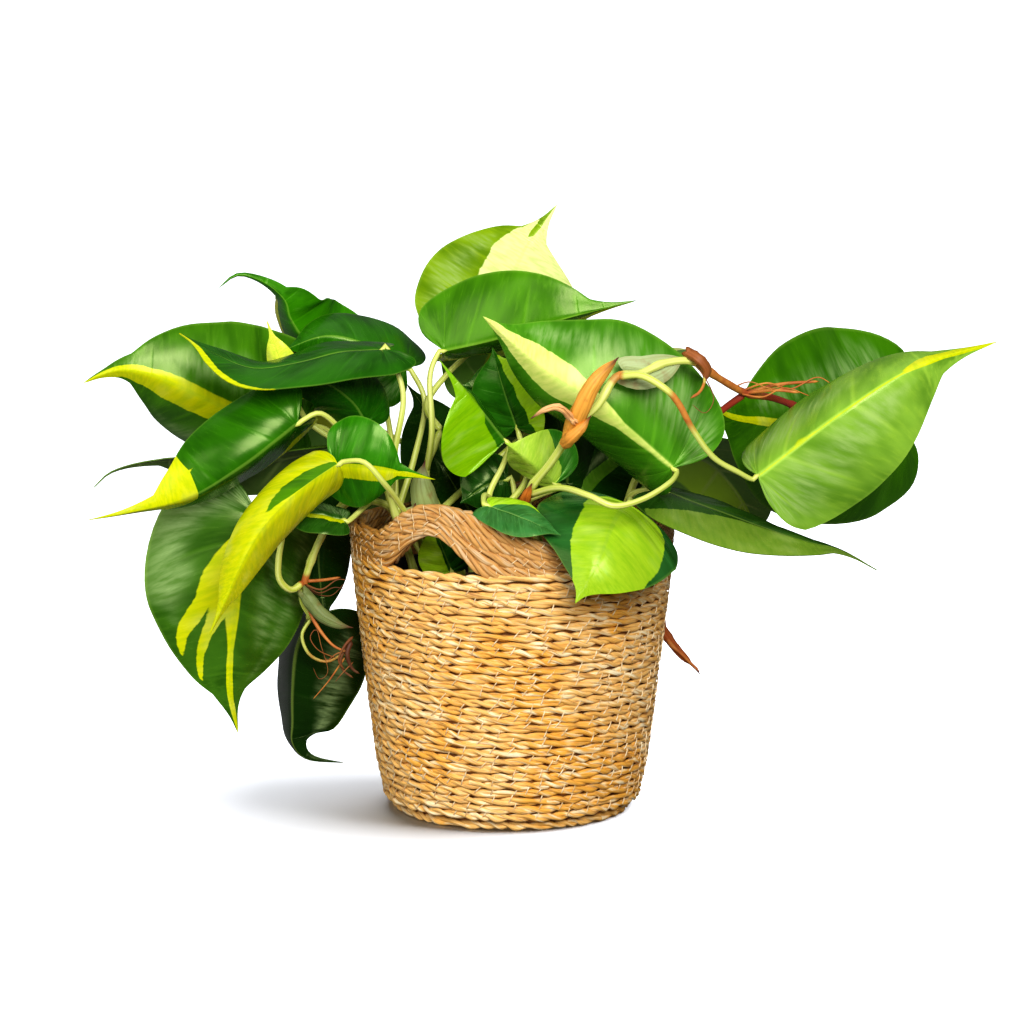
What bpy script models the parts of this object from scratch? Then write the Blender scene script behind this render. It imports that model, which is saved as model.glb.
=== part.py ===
"""Potted heartleaf philodendron with variegated leaves, in a seagrass basket with two handles.

The axis of the basket is Z, its underside is at Z = 0 and the side that faces the viewer is -Y.
Tables are in millimetres, and MM turns them into metres where a shape is made.
"""

import math
from typing import NamedTuple

import bmesh
import bpy
from mathutils import Vector

MM = 0.001
WELD = 0.01 * MM

# Basket: a coiled cup of seagrass rows under a rim band, which rises into two handles
BASKET_SEGMENTS = 36
ROW_PITCH = 5.8
ROW_COUNT = 20
ROW_RELIEF = 0.8
FIRST_ROW = 8.0
CUP_TOP = 124.0
FOOT_RADIUS = 54.0
WALL = 7.0
FLOOR = 8.0
FLOOR_FILLET = 5.0
FOOT_STEP = (57.0, 2.0)
WALL_RADII = ((0, 58.5), (8, 60.5), (24, 64), (52, 67.5), (99, 73), (124, 75.5), (140, 77))
INNER_HEIGHTS = (52.0, 99.0, CUP_TOP)
BAND_FOOT = 123.0
BAND_TOP = 136.5
BAND_WIDTH = 7.6
BAND_SEGMENTS = 60
BAND_SIDES = 8
HANDLE_ANGLES = (-29.0, 151.0)
ARCH_RISE = 16.5
ARCH_REACH = (29.0, 44.0)
HOLE_RISE = 18.0
HOLE_REACH = (24.0, 21.0)
ARCH_FULLNESS = 0.8

# Nursery pot and soil
POT_TOP = 113.0
POT_TOP_RADIUS = 62.0
POT_FOOT_RADIUS = 47.0
POT_WALL = 1.2
POT_LIP = 1.8
POT_LIP_HEIGHT = 7.0
DRAIN_RADIUS = 6.0
POT_SEGMENTS = 36
SOIL_EDGE = 103.0
SOIL_CROWN = 107.0
SOIL_SEGMENT_GAP = 0.3
STEM_HOLE_GAP = 0.9
STEM_FOOT = 82.0
GAP = 0.35

# Stems and blades
PETIOLE_RADIUS = 1.25
PETIOLE_END_RADIUS = 0.75
PETIOLE_STRAIGHT = 7.0
NOTCH_GAP = 1.3
TUBE_STEP = 10.0
BLADE_THICKNESS = 0.8
BLADE_COLUMNS = 4
BLADE_ROWS = 10
MIDRIB_STEP = 1.5

# Half of a heart-shaped blade, from the notch at its base to its tip: the margin's distance from the
# midrib as a share of the width, its place along the midrib as a share of the length, and the place
# where the vein that ends there leaves the midrib
HEART = (
    (0.00, 0.00, 0.00),
    (0.17, -0.11, 0.00),
    (0.35, -0.10, 0.00),
    (0.47, 0.07, 0.00),
    (0.50, 0.28, 0.07),
    (0.46, 0.48, 0.26),
    (0.36, 0.65, 0.48),
    (0.21, 0.79, 0.68),
    (0.09, 0.87, 0.80),
    (0.03, 0.93, 0.90),
    (0.00, 1.00, 1.00),
)
DRIP_ROW = 8

FRONT = (0.0, -1.0, 0.15)


class Leaf(NamedTuple):
    """One blade and its petiole. Left and right are seen on the upper face with the tip up.

    Each half leaves the midrib at its first angle above the facing plane, and turns by its second
    angle on the way to its margin. The drip tip starts at a share of the midrib, and lobes is the
    depth of the two lobes beside the notch, against the heart's own.
    """

    name: str
    vine: str
    width: float
    facing: tuple
    left: tuple
    right: tuple
    midrib: tuple
    petiole: tuple
    drip: float = 0.87
    lobes: float = 1.0
    wave: float = 1.2


LEAVES = (
    Leaf("leaf_right_front", "right_vine", 82, FRONT, (-64, -40), (-8, -25),
         ((111, -55, 165), (147, -62, 194), (181, -55, 214), (220, -40, 224)),
         ((46, -78, 212), (57, -80, 213), (68, -82, 207), (74, -80, 200), (80, -76, 189), (90, -68, 175),
          (102, -60, 167)), drip=0.84, lobes=0.4),
    Leaf("leaf_right_back", "right_vine", 104, FRONT, (-24, -18), (-6, -12),
         ((187, 39, 177), (158, 25, 175), (128, 9, 180), (103, -2, 185), (93, -3, 192)),
         ((134, -6, 190), (160, 3, 187), (185, 18, 183), (198, 34, 179))),
    Leaf("leaf_right_low", "right_vine", 54, (0.2, -0.12, 0.97), (0, -20), (-8, -20),
         ((72, -30, 154), (92, -44, 148), (126, -55, 137), (150, -56, 130), (166, -52, 121)),
         ((52, -6, 140), (56, -16, 151)), drip=0.78, lobes=0.6),
    Leaf("leaf_centre_large", "right_vine", 88, FRONT, (-52, -40), (-5, -25),
         ((72, -60, 169), (42, -66, 195), (15, -62, 213), (-13, -44, 236)),
         ((7, -50, 155), (21, -74, 162), (34, -92, 161), (45, -96, 157), (58, -88, 159), (70, -74, 164)),
         lobes=0.8),
    Leaf("leaf_rim_front", "right_vine", 74, (-0.1, -0.8, 0.6), (-22, -30), (4, -16),
         ((52, -57, 152), (46, -76, 148), (38, -90, 131), (28, -93, 113)),
         ((52, -6, 140), (54, -30, 150)), lobes=0.5),
    Leaf("leaf_top_back", "centre_vine", 84, FRONT, (-8, -14), (-6, -16),
         ((-10, 28, 223), (-4, 38, 239), (2, 46, 252), (8, 53, 263), (15, 58, 272), (22, 62, 281)),
         ((-33, -12, 180), (-40, 4, 190), (-30, 16, 204)), drip=0.74),
    Leaf("leaf_top_front", "centre_vine", 64, FRONT, (-8, -12), (-72, -30),
         ((-31, -10, 217), (-8, -18, 223), (24, -22, 233), (57, -18, 241)),
         ((-40, -12, 160), (-37, -18, 181), (-38, -14, 205)), drip=0.78),
    Leaf("leaf_cupped", "centre_front_vine", 58, FRONT, (5, 10), (-85, 0),
         ((-3, -40, 179), (-18, -48, 199), (-33, -50, 217)),
         ((-6, -30, 130), (-11, -33, 150), (-4, -33, 167)), drip=0.64, lobes=0.1),
    Leaf("leaf_small_heart", "centre_front_vine", 42, FRONT, (-70, 0), (-5, -20),
         ((19, -47, 160), (10, -52, 169), (-3, -56, 180)),
         ((-6, -30, 130), (3, -31, 147))),
    Leaf("leaf_folded", "centre_front_vine", 40, (-0.6, -0.8, 0.0), (10, -20), (10, -20),
         ((2, -12, 182), (-4, -15, 200), (-9, -13, 219)),
         ((-5, -34, 145), (7, -22, 160))),
    Leaf("leaf_rim_small", "centre_front_vine", 22, (0.0, -0.5, 0.85), (0, -15), (-5, -20),
         ((-10, -69, 153), (5, -79, 149), (22, -85, 142)),
         ((-5, -34, 145), (-12, -50, 155))),
    Leaf("leaf_centre_low", "centre_front_vine", 32, FRONT, (-20, -10), (-10, -20),
         ((-3, -21, 158), (-12, -24, 156), (-24, -26, 148)),
         ((-6, -30, 130), (1, -22, 145))),
    Leaf("leaf_inside_handle", "centre_vine", 26, FRONT, (-10, -10), (-10, -10),
         ((-28, -34, 118), (-32, -38, 129), (-36, -38, 141)),
         ((-24, -9, 112), (-26, -26, 108))),
    Leaf("leaf_centre_dark", "centre_vine", 44, FRONT, (-30, -10), (-10, -20),
         ((8, 6, 188), (-8, 2, 196), (-24, 0, 200)),
         ((-34, -12, 142), (-12, 4, 160), (8, 12, 178))),
    Leaf("leaf_upper_left", "left_vine", 54, FRONT, (-70, -10), (-32, -20),
         ((-78, 34, 207), (-97, 30, 217), (-105, 26, 228), (-107, 22, 237), (-113, 20, 244),
          (-122, 18, 249), (-130, 16, 250), (-138, 14, 244)),
         ((-54, -14, 140), (-56, 14, 162), (-62, 34, 190)), drip=0.66),
    Leaf("leaf_upper_round", "left_vine", 60, FRONT, (-20, -20), (-52, -20),
         ((-50, 12, 207), (-66, 10, 217), (-87, 10, 222), (-108, 10, 215)),
         ((-54, -14, 140), (-46, -2, 165), (-41, 10, 190))),
    Leaf("leaf_left_long", "left_vine", 40, (0.0, -0.35, 0.94), (-5, -20), (-5, -20),
         ((-60, -22, 219), (-78, -34, 219), (-96, -40, 215), (-117, -40, 212), (-135, -36, 218),
          (-152, -30, 227)),
         ((-56, -16, 148), (-54, -24, 172), (-50, -24, 198))),
    Leaf("leaf_far_left", "left_vine", 90, FRONT, (-42, -40), (-8, -20),
         ((-98, 5, 181), (-125, -1, 186), (-145, -6, 195), (-163, -9, 204), (-179, -10, 208),
          (-190, -10, 206), (-199, -10, 202)),
         ((-60, -18, 158), (-73, -8, 168), (-86, 4, 178)), drip=0.79, lobes=0.6),
    Leaf("leaf_mid_dark", "left_vine", 38, FRONT, (-40, -10), (-20, -20),
         ((-68, -13, 184), (-75, -18, 195), (-89, -22, 204), (-113, -20, 204)),
         ((-60, -18, 158), (-63, -14, 172))),
    Leaf("leaf_spike", "left_vine", 15, FRONT, (-30, 0), (-30, 0),
         ((-103, -4, 203), (-111, -4, 217), (-114, -4, 231)),
         ((-60, -18, 158), (-76, -6, 174), (-94, -3, 192))),
    Leaf("leaf_mid_left", "left_hanging_vine", 60, FRONT, (-82, -10), (-14, -20),
         ((-98, -40, 186), (-107, -44, 179), (-122, -48, 168), (-146, -50, 154), (-174, -48, 147),
          (-193, -44, 143)),
         ((-66, -4, 146), (-67, -20, 160), (-77, -29, 180), (-87, -37, 191)), drip=0.64),
    Leaf("leaf_left_tail", "left_hanging_vine", 42, (0.0, 0.5, 0.87), (-10, -20), (-10, -20),
         ((-96, 6, 167), (-126, 4, 162), (-151, -2, 165), (-172, -6, 164), (-187, -8, 160),
          (-195, -10, 153)),
         ((-66, -4, 146), (-80, 2, 158)), drip=0.68),
    Leaf("leaf_yellow", "left_hanging_vine", 52, FRONT, (-60, -30), (-48, -20),
         ((-78, -66, 172), (-94, -75, 161), (-112, -80, 148), (-125, -80, 130), (-136, -76, 106)),
         ((-41, 11, 116), (-44, -36, 137), (-51, -54, 152), (-58, -68, 164), (-66, -70, 173)),
         drip=0.92, lobes=0.4),
    Leaf("leaf_round_left", "left_hanging_vine", 90, FRONT, (-32, -28), (2, -16),
         ((-118, -14, 140), (-126, -18, 118), (-129, -22, 91), (-132, -20, 60), (-129, -14, 37)),
         ((-97, -12, 109), (-103, -18, 106), (-108, -23, 112), (-108, -26, 122), (-106, -26, 136),
          (-110, -20, 146)), drip=0.8),
    Leaf("leaf_hanging", "left_hanging_vine", 64, FRONT, (-8, -20), (-74, -10),
         ((-97, 5, 88), (-103, 8, 72), (-105, 9, 52), (-105, 9, 37), (-105, 9, 27), (-98, 10, 19),
          (-81, 11, 17)),
         ((-98, -10, 99), (-96, -3, 95)), drip=0.72),
    Leaf("leaf_small_green", "left_hanging_vine", 46, FRONT, (-10, -20), (-10, -20),
         ((-80, -42, 168), (-64, -44, 167), (-47, -42, 164), (-35, -40, 161)),
         ((-66, -4, 146), (-76, -26, 158), (-88, -38, 167)), drip=0.81, lobes=0.9),
    Leaf("leaf_small_dark", "left_hanging_vine", 24, (0.0, -0.5, 0.87), (-5, -15), (-5, -15),
         ((-78, -36, 142), (-90, -38, 145), (-110, -38, 146)),
         ((-66, -4, 146), (-68, -22, 146))),
    Leaf("leaf_back_high", "back_left_vine", 60, (0.0, 0.7, 0.5), (-5, -20), (-5, -20),
         ((-14, 48, 188), (-8, 64, 210), (2, 78, 224), (8, 86, 224)),
         ((-30, 50, 155), (-22, 42, 172))),
    Leaf("leaf_back_left_side", "back_left_vine", 56, (-0.3, 0.8, 0.5), (-5, -20), (-10, -20),
         ((-70, 60, 174), (-96, 72, 180), (-124, 78, 171), (-148, 78, 154)),
         ((-30, 50, 155), (-48, 50, 164))),
    Leaf("leaf_back_left_low", "back_left_vine", 66, (-0.3, 0.8, 0.5), (-5, -20), (-5, -20),
         ((-40, 70, 148), (-52, 88, 139), (-60, 97, 114), (-64, 97, 90)),
         ((-30, 50, 155), (-34, 60, 158))),
    Leaf("leaf_back_low", "back_right_vine", 64, (0.1, 0.85, 0.5), (-5, -20), (-5, -20),
         ((6, 62, 174), (8, 86, 168), (6, 108, 142), (0, 114, 112)),
         ((38, 42, 140), (24, 48, 158), (8, 48, 172))),
    Leaf("leaf_back_right_low", "back_right_vine", 66, (0.4, 0.8, 0.5), (-5, -20), (-5, -20),
         ((76, 60, 162), (98, 76, 153), (114, 86, 133), (124, 90, 109)),
         ((44, 46, 156), (58, 48, 164))),
    Leaf("leaf_back_right_high", "back_right_vine", 62, (0.2, 0.7, 0.6), (-5, -20), (-5, -20),
         ((46, 44, 186), (60, 60, 202), (78, 72, 210), (92, 80, 206)),
         ((44, 46, 156), (38, 36, 172))),
)

# Stems of each vine, as (points, radius at the start, radius at the end)
STEMS = {
    "right_vine": (
        (((16, -18, STEM_FOOT), (15, -20, 110), (11, -34, 138), (7, -50, 155), (18, -66, 173),
          (29, -78, 191), (38, -82, 200), (46, -78, 212), (57, -72, 213), (68, -66, 217),
          (81, -60, 217), (94, -48, 208), (107, -34, 200), (121, -20, 196), (136, -4, 189)), 2.1, 1.6),
        (((40, -12, STEM_FOOT), (42, -10, 112), (52, -6, 140), (60, -10, 161), (74, -18, 172),
          (88, -26, 184), (98, -30, 193), (107, -34, 200)), 1.9, 1.6),
        (((106, -34, 200), (122, -34, 204), (141, -30, 205)), 1.0, 0.6),
        (((106, -34, 200), (120, -40, 202), (131, -42, 201)), 0.9, 0.6),
        (((81, -60, 217), (86, -64, 211), (84, -70, 205), (79, -74, 202)), 0.8, 0.6),
    ),
    "centre_vine": (
        (((-20, -8, STEM_FOOT), (-24, -9, 112), (-34, -12, 142), (-40, -12, 160), (-33, -12, 181)), 2.2, 1.7),
    ),
    "centre_front_vine": (
        (((-4, -26, STEM_FOOT), (-5, -27, 112), (-6, -30, 130), (-5, -35, 147)), 2.0, 1.7),
    ),
    "left_vine": (
        (((-42, -4, STEM_FOOT), (-46, -6, 112), (-54, -14, 140), (-60, -18, 160)), 2.1, 1.7),
    ),
    "left_hanging_vine": (
        (((-34, 14, STEM_FOOT), (-40, 12, 112), (-54, 4, 138), (-66, -4, 146), (-79, -12, 145),
          (-90, -15, 128), (-97, -12, 109), (-98, -10, 99), (-93, -8, 90)), 2.1, 1.6),
        (((-97, -12, 109), (-88, -8, 109), (-80, -6, 110)), 0.9, 0.6),
        (((-94, -8, 91), (-99, -4, 82), (-96, 0, 72), (-88, 2, 68), (-80, 0, 72)), 0.9, 0.6),
    ),
    "back_left_vine": (
        (((-18, 30, STEM_FOOT), (-20, 34, 112), (-28, 44, 140), (-30, 50, 157)), 2.0, 1.7),
    ),
    "back_right_vine": (
        (((24, 26, STEM_FOOT), (28, 32, 112), (38, 42, 140), (44, 46, 158)), 2.0, 1.7),
        (((38, 42, 140), (52, 46, 153), (67, 52, 148), (75, 53, 128), (74, 46, 106), (73, 36, 88),
          (75, 28, 74), (82, 23, 67), (90, 17, 60)), 1.6, 0.7),
    ),
}

# Papery sheaths that are left on the stems, curled like narrow blades
SHEATHS = (
    Leaf("dried_sheath_right", "right_vine", 11, FRONT, (-30, -40), (-30, -40),
         ((26, -81, 186), (29, -90, 196), (36, -94, 211), (47, -88, 222)), (), wave=0.4),
    Leaf("dried_sheath_left", "left_hanging_vine", 9, FRONT, (-30, -40), (-30, -40),
         ((-97, -17, 104), (-90, -20, 95), (-81, -20, 90), (-74, -18, 88)), (), wave=0.4),
)

LEAF_GREEN = (0.07, 0.20, 0.03)
STEM_GREEN = (0.36, 0.46, 0.10)
DRIED_BROWN = (0.50, 0.28, 0.08)
SEAGRASS = (0.63, 0.40, 0.16)
POT_BLACK = (0.03, 0.03, 0.03)
SOIL_BROWN = (0.06, 0.035, 0.02)


def clear_scene():
    for obj in list(bpy.data.objects):
        bpy.data.objects.remove(obj)


def material(name, colour, roughness):
    """A plain Principled material, made once and shared by the pieces of that kind."""
    made = bpy.data.materials.get(name)
    if made is None:
        made = bpy.data.materials.new(name)
        made.use_nodes = True
        shader = made.node_tree.nodes["Principled BSDF"]
        shader.inputs["Base Color"].default_value = (*colour, 1)
        shader.inputs["Roughness"].default_value = roughness
        shader.inputs["Metallic"].default_value = 0
    return made


def finish(obj, name, collection, paint):
    """Names the piece, files it with the plant's other pieces and gives it its material."""
    obj.name = name
    for other in list(obj.users_collection):
        other.objects.unlink(obj)
    collection.objects.link(obj)
    obj.data.materials.clear()
    obj.data.materials.append(paint)
    return obj


def between(table, at):
    """The value at a place in a table of (place, value) pairs, on straight lines between them."""
    for (low, first), (high, second) in zip(table, table[1:]):
        if at <= high:
            return first + (second - first) * (at - low) / (high - low)
    return table[-1][1]


def smooth_curve(points, count):
    """Evenly counted points on a Catmull-Rom curve through the given ones."""
    knots = [Vector(p) for p in points]
    knots = [2 * knots[0] - knots[1], *knots, 2 * knots[-1] - knots[-2]]
    found = []
    for i in range(count):
        place = i / (count - 1) * (len(knots) - 3)
        k = min(int(place), len(knots) - 4)
        t = place - k
        a, b, c, d = knots[k:k + 4]
        bend = (2 * a - 5 * b + 4 * c - d) * t**2 + (3 * b - a - 3 * c + d) * t**3
        found.append((2 * b + (c - a) * t + bend) / 2)
    return found


def even_curve(points, step):
    """Points about one step apart along the smooth curve through the given ones."""
    fine = smooth_curve(points, 12 * len(points))
    reach = [0.0]
    for a, b in zip(fine, fine[1:]):
        reach.append(reach[-1] + (b - a).length)
    count = max(2, round(reach[-1] / step) + 1)
    found = []
    for i in range(count):
        wanted = reach[-1] * i / (count - 1)
        k = next(j for j in range(1, len(reach)) if reach[j] >= wanted - 1e-9)
        share = (wanted - reach[k - 1]) / max(reach[k] - reach[k - 1], 1e-9)
        found.append(fine[k - 1].lerp(fine[k], share))
    return found


class Midrib:
    """The line of a leaf's midrib, with its place, direction and facing at each share of its length."""

    def __init__(self, points, facing):
        self.points = even_curve(points, MIDRIB_STEP)
        self.length = sum((b - a).length for a, b in zip(self.points, self.points[1:]))
        self.facing = Vector(facing)

    def frame(self, share):
        """(place, direction towards the tip, right, up) at a share, which is negative behind the base."""
        last = len(self.points) - 1
        place = min(max(share, 0), 1) * last
        k = min(int(place), last - 1)
        middle = self.points[k].lerp(self.points[k + 1], place - k)
        ahead = (self.points[min(k + 3, last)] - self.points[max(k - 2, 0)]).normalized()
        middle = middle + ahead * min(share, 0) * self.length
        up = (self.facing - ahead * self.facing.dot(ahead)).normalized()
        return middle, ahead, ahead.cross(up), up


def heart_margin(along):
    """The HEART row at a share of the way from the notch to the tip."""
    place = along * (len(HEART) - 1)
    k = min(int(place), len(HEART) - 2)
    return [a + (b - a) * (place - k) for a, b in zip(HEART[k], HEART[k + 1])]


def blade_point(midrib, leaf, across, along):
    """A blade's point: across runs from -1 at the left margin to 1 at the right, along from notch to tip."""
    share, margin, leaves_midrib = heart_margin(along)
    drip = HEART[DRIP_ROW][1]
    if margin > drip:
        margin = 1 - (1 - margin) * (1 - leaf.drip) / (1 - drip)
    elif margin > 0:
        margin *= leaf.drip / drip
    else:
        margin *= leaf.lobes
    leaves_midrib = min(leaves_midrib, margin) if margin > 0 else 0
    side = 1 if across > 0 else -1
    out = abs(across)
    first, turn = (math.radians(a) for a in (leaf.right if side > 0 else leaf.left))
    middle, ahead, to_right, up = midrib.frame(leaves_midrib + (margin - leaves_midrib) * out)
    flat = out * share * 2
    half = leaf.width / 2
    if abs(turn) < 1e-3:
        sideways, raised = flat * math.cos(first) * half, flat * math.sin(first) * half
    else:
        angle = first + turn * flat
        sideways = (math.sin(angle) - math.sin(first)) / turn * half
        raised = (math.cos(first) - math.cos(angle)) / turn * half
    raised += leaf.wave * out**2 * math.sin(along * 4 * math.pi + leaf.width + side) * share * 2
    return middle + to_right * side * sideways + up * raised


def make_blade(leaf):
    """A heart-shaped blade: a grid bent to the leaf's form, split into triangles, given its thickness."""
    midrib = Midrib(leaf.midrib, leaf.facing)
    bpy.ops.mesh.primitive_grid_add(x_subdivisions=BLADE_COLUMNS, y_subdivisions=BLADE_ROWS, size=2)
    obj = bpy.context.object
    mesh = bmesh.new()
    mesh.from_mesh(obj.data)
    for vertex in mesh.verts:
        across, along = vertex.co.x, (vertex.co.y + 1) / 2
        vertex.co = blade_point(midrib, leaf, across, along) * MM
    bmesh.ops.remove_doubles(mesh, verts=mesh.verts, dist=WELD)
    bmesh.ops.triangulate(mesh, faces=mesh.faces)
    mesh.to_mesh(obj.data)
    mesh.free()
    thickness = obj.modifiers.new("thickness", "SOLIDIFY")
    thickness.thickness = BLADE_THICKNESS * MM
    thickness.offset = 0
    return obj


def tube(points, first_radius, last_radius, step=TUBE_STEP):
    """A closed tapering tube along the smooth curve through the points, as a mesh object."""
    route = even_curve(points, step)
    curve = bpy.data.curves.new("tube", "CURVE")
    curve.dimensions = "3D"
    curve.bevel_depth = MM
    curve.bevel_resolution = 1
    curve.use_fill_caps = True
    spline = curve.splines.new("POLY")
    spline.points.add(len(route) - 1)
    for i, (point, place) in enumerate(zip(spline.points, route)):
        point.co = (*(place * MM), 1)
        point.radius = first_radius + (last_radius - first_radius) * i / (len(route) - 1)
    guide = bpy.data.objects.new("tube_guide", curve)
    bpy.context.scene.collection.objects.link(guide)
    graph = bpy.context.evaluated_depsgraph_get()
    data = bpy.data.meshes.new_from_object(guide.evaluated_get(graph))
    mesh = bmesh.new()
    mesh.from_mesh(data)
    bmesh.ops.remove_doubles(mesh, verts=mesh.verts, dist=WELD)
    bmesh.ops.recalc_face_normals(mesh, faces=mesh.faces)
    mesh.to_mesh(data)
    mesh.free()
    made = bpy.data.objects.new("tube", data)
    made.matrix_world = guide.matrix_world
    bpy.context.scene.collection.objects.link(made)
    bpy.data.objects.remove(guide)
    return made


def fuse(pieces, solver="EXACT"):
    """Joins closed pieces into the first of them with one Boolean union, and removes the others."""
    base, *others = pieces
    if not others:
        return base
    group = bpy.data.collections.new("joined")
    bpy.context.scene.collection.children.link(group)
    for piece in others:
        piece.users_collection[0].objects.unlink(piece)
        group.objects.link(piece)
    union = base.modifiers.new("union", "BOOLEAN")
    union.operation = "UNION"
    union.operand_type = "COLLECTION"
    union.collection = group
    union.solver = solver
    bpy.context.view_layer.objects.active = base
    with bpy.context.temp_override(object=base, active_object=base, selected_objects=[base]):
        bpy.ops.object.modifier_apply(modifier=union.name)
    for piece in others:
        bpy.data.objects.remove(piece)
    bpy.data.collections.remove(group)
    return base


def petiole_route(leaf):
    """The petiole's points, ending in the notch at the base of its blade, in line with the midrib."""
    middle, ahead, _, _ = Midrib(leaf.midrib, leaf.facing).frame(0)
    return (*leaf.petiole, middle - ahead * PETIOLE_STRAIGHT, middle - ahead * NOTCH_GAP)


def make_vine(name):
    pieces = [tube(*stem) for stem in STEMS[name]]
    for leaf in LEAVES:
        if leaf.vine == name:
            pieces.append(tube(petiole_route(leaf), PETIOLE_RADIUS, PETIOLE_END_RADIUS))
    return fuse(pieces)


def turned(profile, segments):
    """A solid turned round Z from (radius, height) points that run down its outer side."""
    data = bpy.data.meshes.new("profile")
    rows = [(radius * MM, 0, height * MM) for radius, height in profile]
    data.from_pydata(rows, [(i, i + 1) for i in range(len(rows) - 1)], [])
    obj = bpy.data.objects.new("turned", data)
    bpy.context.scene.collection.objects.link(obj)
    screw = obj.modifiers.new("turn", "SCREW")
    screw.steps = segments
    screw.render_steps = segments
    screw.use_merge_vertices = True
    screw.merge_threshold = WELD
    screw.use_smooth_shade = False
    bpy.context.view_layer.objects.active = obj
    with bpy.context.temp_override(object=obj, active_object=obj, selected_objects=[obj]):
        bpy.ops.object.modifier_apply(modifier=screw.name)
    return obj


def basket_profile():
    """The cup's section: floor, inner wall, top edge, one ridge for each seagrass row, and the foot."""
    inner_foot = between(WALL_RADII, FLOOR) - WALL
    points = [(0, FLOOR), (inner_foot - FLOOR_FILLET, FLOOR), (inner_foot, FLOOR + FLOOR_FILLET)]
    points += [(between(WALL_RADII, z) - WALL, z) for z in INNER_HEIGHTS]
    points.append((between(WALL_RADII, CUP_TOP), CUP_TOP))
    for row in reversed(range(ROW_COUNT)):
        crest = FIRST_ROW + row * ROW_PITCH
        groove = crest - ROW_PITCH / 2
        points.append((between(WALL_RADII, crest) + ROW_RELIEF, crest))
        points.append((between(WALL_RADII, groove) - ROW_RELIEF, groove))
    points.pop()
    return [*points, FOOT_STEP, (FOOT_RADIUS, 0), (0, 0)]


def handle_lift(angle, rise, reach):
    """How far an edge of the rim rises at an angle round the basket, for its arch over each handle."""
    for middle in HANDLE_ANGLES:
        away = (angle - middle + 180) % 360 - 180
        half_angle = reach[1] if away > 0 else reach[0]
        if abs(away) < half_angle:
            return rise * (0.5 + 0.5 * math.cos(math.pi * away / half_angle)) ** ARCH_FULLNESS
    return 0.0


def make_band():
    """The rim: an oval ring that arches up into two handles and leaves a hole under each of them."""
    bpy.ops.mesh.primitive_torus_add(major_segments=BAND_SEGMENTS, minor_segments=BAND_SIDES,
                                     major_radius=1, minor_radius=0.5)
    ring = bpy.context.object
    for vertex in ring.data.vertices:
        around = math.atan2(vertex.co.x, -vertex.co.y)
        outward = (math.hypot(vertex.co.x, vertex.co.y) - 1) * 2
        upward = vertex.co.z * 2
        foot = BAND_FOOT + handle_lift(math.degrees(around), HOLE_RISE, HOLE_REACH)
        top = BAND_TOP + handle_lift(math.degrees(around), ARCH_RISE, ARCH_REACH)
        height = (foot + top) / 2 + (top - foot) / 2 * upward
        radius = between(WALL_RADII, height) - WALL / 2 + BAND_WIDTH / 2 * outward
        vertex.co = Vector((radius * math.sin(around), -radius * math.cos(around), height)) * MM
    return ring


def make_basket():
    cup = turned(basket_profile(), BASKET_SEGMENTS)
    return fuse([cup, make_band()])


def make_pot():
    """A thin pot with a rolled lip and a drain hole, standing on the basket's floor."""
    foot = FLOOR + GAP
    lip_radius = POT_TOP_RADIUS + POT_LIP
    return turned([
        (DRAIN_RADIUS, foot), (DRAIN_RADIUS, foot + POT_WALL),
        (POT_FOOT_RADIUS - POT_WALL, foot + POT_WALL), (POT_TOP_RADIUS - POT_WALL, POT_TOP),
        (lip_radius, POT_TOP), (lip_radius, POT_TOP - POT_LIP_HEIGHT),
        (POT_TOP_RADIUS, POT_TOP - POT_LIP_HEIGHT), (POT_FOOT_RADIUS, foot), (DRAIN_RADIUS, foot),
    ], POT_SEGMENTS)


def pot_inside(height):
    """The pot's inner radius at a height."""
    foot = FLOOR + GAP + POT_WALL
    share = (height - foot) / (POT_TOP - foot)
    return POT_FOOT_RADIUS - POT_WALL + (POT_TOP_RADIUS - POT_FOOT_RADIUS) * share


def make_soil(cutters):
    """The plug of soil, mounded towards its middle, with a plain hole for each stem."""
    foot = FLOOR + GAP + POT_WALL + GAP
    crown = SOIL_CROWN - SOIL_EDGE
    shares = (0, 0.35, 0.7, 1)
    edge = pot_inside(SOIL_EDGE) - GAP - SOIL_SEGMENT_GAP
    top = [(edge * s, SOIL_EDGE + crown * (1 - s**2)) for s in shares]
    soil = turned([*top, (pot_inside(foot) - GAP - SOIL_SEGMENT_GAP, foot), (0, foot)], POT_SEGMENTS)
    for stems in STEMS.values():
        for points, radius, _ in stems:
            if points[0][2] != STEM_FOOT:
                continue
            below = Vector(points[0]) - Vector((0, 0, GAP))
            hole = tube((below, *points[1:3]), radius + STEM_HOLE_GAP, radius + STEM_HOLE_GAP)
            cutters.objects.link(hole)
            bpy.context.scene.collection.objects.unlink(hole)
            hole.hide_render = True
            hole.display_type = "WIRE"
            cut = soil.modifiers.new("stem hole", "BOOLEAN")
            cut.operation = "DIFFERENCE"
            cut.object = hole
    return soil


def main():
    clear_scene()
    plant = bpy.data.collections.new("potted_heartleaf_philodendron")
    cutters = bpy.data.collections.new("cutters")
    bpy.context.scene.collection.children.link(plant)
    bpy.context.scene.collection.children.link(cutters)
    green = material("leaf", LEAF_GREEN, 0.35)
    stem_green = material("stem", STEM_GREEN, 0.45)
    dried = material("dried_sheath", DRIED_BROWN, 0.7)
    finish(make_basket(), "basket", plant, material("seagrass", SEAGRASS, 0.8))
    finish(make_pot(), "nursery_pot", plant, material("pot_plastic", POT_BLACK, 0.5))
    finish(make_soil(cutters), "potting_soil", plant, material("soil", SOIL_BROWN, 0.95))
    for name in STEMS:
        finish(make_vine(name), name, plant, stem_green)
    for leaf in LEAVES:
        finish(make_blade(leaf), leaf.name, plant, green)
    for sheath in SHEATHS:
        finish(make_blade(sheath), sheath.name, plant, dried)


main()
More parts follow.
